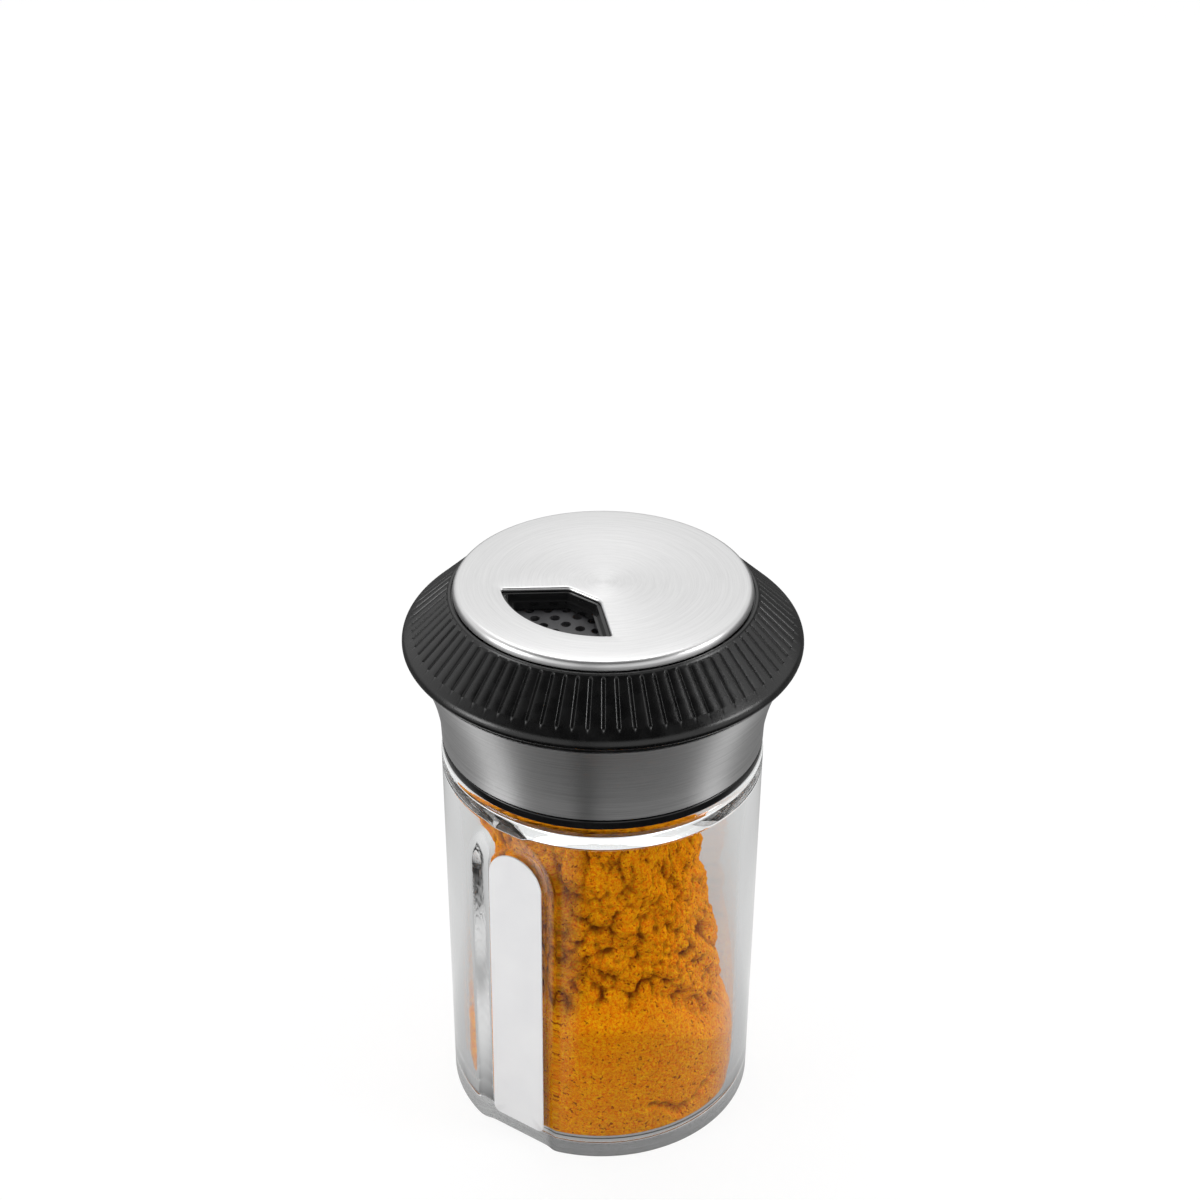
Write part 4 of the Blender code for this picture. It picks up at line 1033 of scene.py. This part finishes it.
def freedom(angle, share):
    """How free of the glass the powder stands, from 0 where it has packed tight to 1 above: a smooth
    step up the jar that starts higher at the front than at the sides."""
    packed = 0.2 + 0.18 * np.maximum(np.cos(angle - PACKED_AZIMUTH), 0) ** 2
    return smooth_step((share - packed) / 0.12)


def side_slip(angle, share):
    """How far the heap's right side has slipped in: it grows evenly from the foot of the slip to the
    top, and fades with the angle from the slip's middle line."""
    beside = np.maximum(np.cos(angle - SIDE_SLIP_AZIMUTH), 0) ** 2
    return SIDE_SLIP_DEPTH * beside * np.clip((share - SIDE_SLIP_FOOT) / (1 - SIDE_SLIP_FOOT), 0, 1)


def lumps(angle, share):
    """The clods that the heap broke into, from -1 to 1: a sum of waves that run round and up."""
    return sum(part * np.cos(turns * angle + 2 * np.pi * rises * share + k)
               for k, (turns, rises, part) in enumerate(LUMP_SHARES))


def crack_depth(u, v):
    """1 on the crack's middle line and 0 beyond a ragged edge: the distance to each stretch of the
    line is the length of what is left after going as far along it as the point lies."""
    azimuth, height = np.array(CRACK).T
    line = joined(np.radians(azimuth) * POWDER_RADIUS, height * MM)
    turn = 2 * np.pi * POWDER_RADIUS
    u = np.where(u > turn / 2, u - turn, u)
    nearest = np.full(u.shape, 1.0)
    for start, end in zip(line, line[1:]):
        way = end - start
        along = np.clip(((u - start[0]) * way[0] + (v - start[1]) * way[1]) / (way @ way), 0, 1)
        nearest = np.minimum(nearest, np.hypot(u - start[0] - way[0] * along, v - start[1] - way[1] * along))
    ragged = layered(np.mod(u, turn), v, 0.9 * MM, 91, smooth_noise)
    return np.clip(1.6 - nearest / ((0.25 + 1.1 * ragged) * MM), 0, 1)


def crumb_relief(u, v, free):
    """Depth below the clods' surface. Crumbs of three sizes are domes, so the depth grows with the
    distance from a seed; near the heap's top the crumbs hang in ridges. Where the powder has packed,
    only pits and the crack are left."""
    hang = np.clip((v - HANG_FOOT) / HANG_RISE, 0, 1)
    sway = layered(u, v, 5 * MM, 37, smooth_noise) * 1.6 * MM
    ridge, ridge_tag = layered(u + sway, v * 0.3, 2.4 * MM, 19)
    big, big_tag = layered(u + sway * 0.6, v, 2.6 * MM, 11)
    small, small_tag = layered(u, v, 1.2 * MM, 29)
    tiny, tiny_tag = layered(u, v, 0.7 * MM, 73)
    clod = (1 - hang) * big ** 2 * (0.6 + big_tag) + hang * ridge ** 2 * (0.6 + ridge_tag)
    loose = clod * 1.3 + small ** 1.5 * (0.2 + small_tag) * 0.7 + tiny * (0.2 + tiny_tag) * 0.4
    # A third of the places in this layer hold a round pit
    pit, pit_tag = layered(u, v, 2.1 * MM, 97)
    pits = np.clip(0.34 - pit, 0, 1) * 2.5 * (pit_tag > 0.66)
    tight = tiny ** 2 * 0.05 + pits * 0.3 + crack_depth(u, v) * 0.9
    return (loose * free + tight * (1 - free)) * MM


def powder_points():
    """Out over the floor, up the wall, and in over the top, with the share of painted shade at each
    point, taken from the depth of its hollow.
    """
    angles = full_turn(430)
    share = np.concatenate([np.linspace(0, 0.012, 5, endpoint=False), np.linspace(0.012, 1, 183)])[:, None]
    rim_top = powder_top(POWDER_RADIUS * np.cos(angles), POWDER_RADIUS * np.sin(angles))
    height = POWDER_FLOOR + (rim_top - POWDER_FLOOR) * share
    free = freedom(angles, share)
    low = np.clip(1 - (height - POWDER_FLOOR) / POWDER_CORNER, 0, 1)
    radius = POWDER_RADIUS - POWDER_CORNER * (1 - np.sqrt(1 - low ** 2))
    radius = radius - (POWDER_SETBACK - LUMP_HEIGHT * lumps(angles, share)) * free
    radius = radius - side_slip(angles, share)
    radius = np.minimum(radius, flat_radius(angles, height, POWDER_FLAT))
    relief = crumb_relief(np.broadcast_to(angles * POWDER_RADIUS, height.shape), height, free)
    rim = np.clip((height - rim_top + RIM_ROUND) / RIM_ROUND, 0, 1)
    radius = radius - relief - RIM_ROUND * (1 - np.sqrt(1 - 0.98 * rim ** 2))
    wall = joined(radius * np.cos(angles), radius * np.sin(angles), height)
    inwards = (1 - np.linspace(0, 1, 30)[1:-1])[:, None]
    x, y = wall[-1, :, 0] * inwards, wall[-1, :, 1] * inwards
    lump = crumbs(x / (2.8 * MM) + 40, y / (2.8 * MM) + 40, 1000, 71)[0]
    fine = crumbs(x / (1.3 * MM) + 60, y / (1.3 * MM) + 60, 1000, 83)[0]
    fade = np.clip((1 - inwards) / 0.08, 0, 1)
    top = joined(x, y, powder_top(x, y) - (lump * 1.1 + fine * 0.5) * MM * fade)
    # Painted shade on the top, darker between the crumbs
    top_hollow_shade = np.clip(lump * 0.9 - 0.2 + fine * 0.4, 0, 1) * fade
    across = np.linspace(0, 1, 8)[1:-1] * (POWDER_RADIUS - POWDER_CORNER)
    floor = carried_round(joined(across, POWDER_FLOOR), angles)
    # Painted shade on the wall follows the crumbs' relief; the floor gets none
    hollow_shade = np.vstack([np.zeros(floor.shape[:2]), np.clip(relief / FULL_SHADE_RELIEF, 0, 1), top_hollow_shade])
    return np.vstack([floor, wall, top]), hollow_shade


points, hollow_shade = powder_points()
powder = make_piece("ground_spice", points, spice_finish, "jar", "spice_powder",
                    looped=False, sharp=180)
# The share of painted shade goes to the finish as an attribute of each point
attribute = powder.data.attributes.new("hollow_shade", "FLOAT", "POINT")
# The last two values belong to the poles, in the floor's middle and on top
attribute.data.foreach_set("value", np.append(hollow_shade.ravel(), [0, 0.3]).astype(np.float32))
print("hollow from", round(float(hollow_shade.min()), 2), "to", round(float(hollow_shade.max()), 2))

# %% [markdown]
# ## Finishes for the CAD pieces that stay
#
# The small parts inside the lid are right as they are. They only get their finishes.

# %% Assign finishes
STAYING = {
    "jar_seal": silicone,
    "sieve_plate": sieve_plastic,
    "dial_carrier": polished_plastic,
    "pivot_screw": zinc,
    "pivot_washer": zinc,
    "wave_spring": zinc,
}
for node, finish in STAYING.items():
    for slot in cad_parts[node].material_slots:
        slot.material = finish
print("finished", ", ".join(STAYING))

# %% [markdown]
# ## Studio
#
# The photograph was taken on white, in soft light from above and from the sides. The camera sees the
# floor and the world white, with a faint shadow. Metal and glass are drawn by what they mirror and
# bend, so the studio gives each kind of ray its own brightness by place or direction. Mirrored, most
# of the room is bright behind the object and dark above the camera. Seen through glass it is white,
# with dark cards at both sides and a dark patch of floor before the jar.

# %% Directions in the studio
WHITE = (1.0, 1.0, 1.0)
# The camera stands a little left of the middle, and nothing shines there
CAMERA_GAP = 0.17


def from_camera(right, away, up=0.0):
    """A place given as seen in the photograph: to the right, away from the camera, and up."""
    return Matrix.Rotation(VIEW_TURN, 3, "Z") @ Vector((right, away, up))


def studio_axes(x, y):
    """To the right and away from the camera, as two wires made from x and y."""
    right, away = from_camera(1, 0), from_camera(0, 1)
    return x * right.x + y * right.y, x * away.x + y * away.y


def ray_kinds(finish):
    """1 for rays of the camera, for mirrored rays and for rays that came through glass."""
    kinds = ("Is Camera Ray", "Is Glossy Ray", "Is Transmission Ray")
    return [finish.node("ShaderNodeLightPath", out=kind) for kind in kinds]


# %% Floor
def floor_points():
    """Two circles of 3 m, 2 mm apart."""
    return carried_round([(3.0, -2 * MM), (3.0, 0)], full_turn(64))


def floor_finish():
    """White floor that keeps the object's shade. Most of its light is given outright. Mirrored, it is
    grey close behind the object, paler to the sides and darker further off; in front it is dark near
    the object and pale further off, but for a gap where the camera stands. Through glass it is white,
    but for the shade close to the jar, the cards at the sides, and the near floor in front, which is
    dark except on the left."""
    finish = Finish("studio_floor")
    seat = finish.seat()
    x, y, _ = finish.parts(seat)
    cloud = finish.noise(seat, 3.0)
    cloudy = finish.blend(cloud, (0.93, 0.93, 0.93), (0.95, 0.95, 0.95))
    finish.set(Base_Color=cloudy, Roughness=0.9, Specular_IOR_Level=0.0)
    camera_ray, glossy_ray, through_ray = ray_kinds(finish)
    right, away = studio_axes(x, y)
    distance = (x * x + y * y) ** 0.5
    side = right / distance
    front = finish.ramp(away, -0.02, 0.02, 1.0, 0.0)
    sides = finish.ramp(side.math("ABSOLUTE"), 0.1, 1.0, 0.45, 0.95)
    near = finish.ramp(distance, 0.07, 0.13, 1.0, 0.2)
    gap = finish.ramp((side + CAMERA_GAP).math("ABSOLUTE"), 0.04, 0.12, 0.3, 1.0)
    before = finish.ramp(distance, 0.2, 0.35, 0.0, 0.95) * gap * front
    mirrored = (sides * near * (1 - front)).math("MAXIMUM", before)
    card = finish.ramp(right.math("ABSOLUTE"), 0.15, 0.4, 1.0, 0.3)
    shade = finish.ramp(distance, 0.04, 0.25, 0.5, 1.0)
    ahead = finish.ramp(away, -0.06, 0.0, 0.05, 1.0).math("MAXIMUM", finish.ramp(distance, 0.15, 0.2))
    ahead = ahead.math("MAXIMUM", finish.ramp(side, -0.2, -0.4))
    level = camera_ray + glossy_ray * (1 - through_ray) * mirrored + through_ray * card * shade * ahead
    given = finish.node("ShaderNodeEmission", values={"Color": WHITE, "Strength": level.math("MINIMUM", 1.0)})
    finish.mix_with((camera_ray.math("MAXIMUM", through_ray) * 0.85).math("MAXIMUM", glossy_ray), given)
    return finish.material


floor = grid_object("floor", floor_points(), looped=False)
floor.data.materials.append(floor_finish())


# %% World
def studio_world():
    """White for the camera. Mirrored, it is bright behind the object, though dim near the horizon and
    most so on the right; in front it is bright only low down, with a gap where the camera stands.
    Through glass it is white with a dark card at each side, and stronger from above. Everything else
    gets an even light that is a little weaker from the camera's side."""
    world = bpy.data.worlds.new("studio")
    world.use_nodes = True
    bpy.context.scene.world = world
    finish = Finish("studio", world.node_tree)
    x, y, z = finish.parts(finish.node("ShaderNodeTexCoord", out="Generated"))
    right, away = studio_axes(x, y)
    camera_ray, glossy_ray, through_ray = ray_kinds(finish)
    low = finish.ramp(z, 0.05, 0.3, 1.0, 0.0)
    leftish = finish.ramp(right, -0.5, 0.2, 0.6, 0.12)
    back = leftish * low + (1 - low) * 0.97
    behind = finish.ramp(away, -0.22, 0.25)
    gap = finish.ramp((right + CAMERA_GAP).math("ABSOLUTE"), 0.03, 0.11, 0.0, 0.95)
    ahead = finish.ramp(z, 0.4, 0.6, 1.0, 0.0) * gap
    mirrored = back * behind + (1 - behind) * ahead
    card = finish.ramp(right.math("ABSOLUTE"), 0.6, 0.9, 1.0, 0.25)
    plain = finish.ramp(away, -1.0, 0.3, 0.6, 0.88)
    other = (1 - camera_ray) * (1 - glossy_ray) * (1 - through_ray)
    strength = camera_ray + glossy_ray * mirrored + through_ray * card + other * plain
    # The glass swallows part of the light from above, so it gets more there
    high = finish.ramp(z, 0.3, 0.6, 0.0, 1.2)
    background = finish.tree.nodes["Background"]
    finish.feed(background.inputs["Color"], WHITE)
    finish.feed(background.inputs["Strength"], strength.math("MINIMUM", 1.0) * (through_ray * high + 1))


studio_world()


# %% Lamps
def soft_lamp(name, place, size, power):
    """A square area lamp that looks from its place, given as seen in the photograph, at the jar's
    middle."""
    lamp = bpy.data.lights.new(name, "AREA")
    lamp.shape = "SQUARE"
    lamp.size = size
    lamp.energy = power
    holder = bpy.data.objects.new(name, lamp)
    bpy.context.scene.collection.objects.link(holder)
    holder.location = from_camera(*place)
    holder.rotation_euler = (JAR_MIDDLE - holder.location).to_track_quat("-Z", "Y").to_euler()
    print(name, "at", tuple(round(v, 2) for v in holder.location), power, "W")


JAR_MIDDLE = Vector((0, 0, 0.05))
soft_lamp("overhead", (-0.1, 0.35, 1.1), 0.7, 4.0)
soft_lamp("left", (-0.9, -0.35, 0.3), 0.4, 3.0)
soft_lamp("right", (0.85, -0.2, 0.5), 0.3, 2.5)

# Light is mirrored many times inside a thick glass wall before it leaves
BOUNCES = 96
scene = bpy.context.scene
scene.view_settings.view_transform = "Standard"
scene.cycles.max_bounces = BOUNCES
scene.cycles.transmission_bounces = BOUNCES
scene.cycles.glossy_bounces = BOUNCES
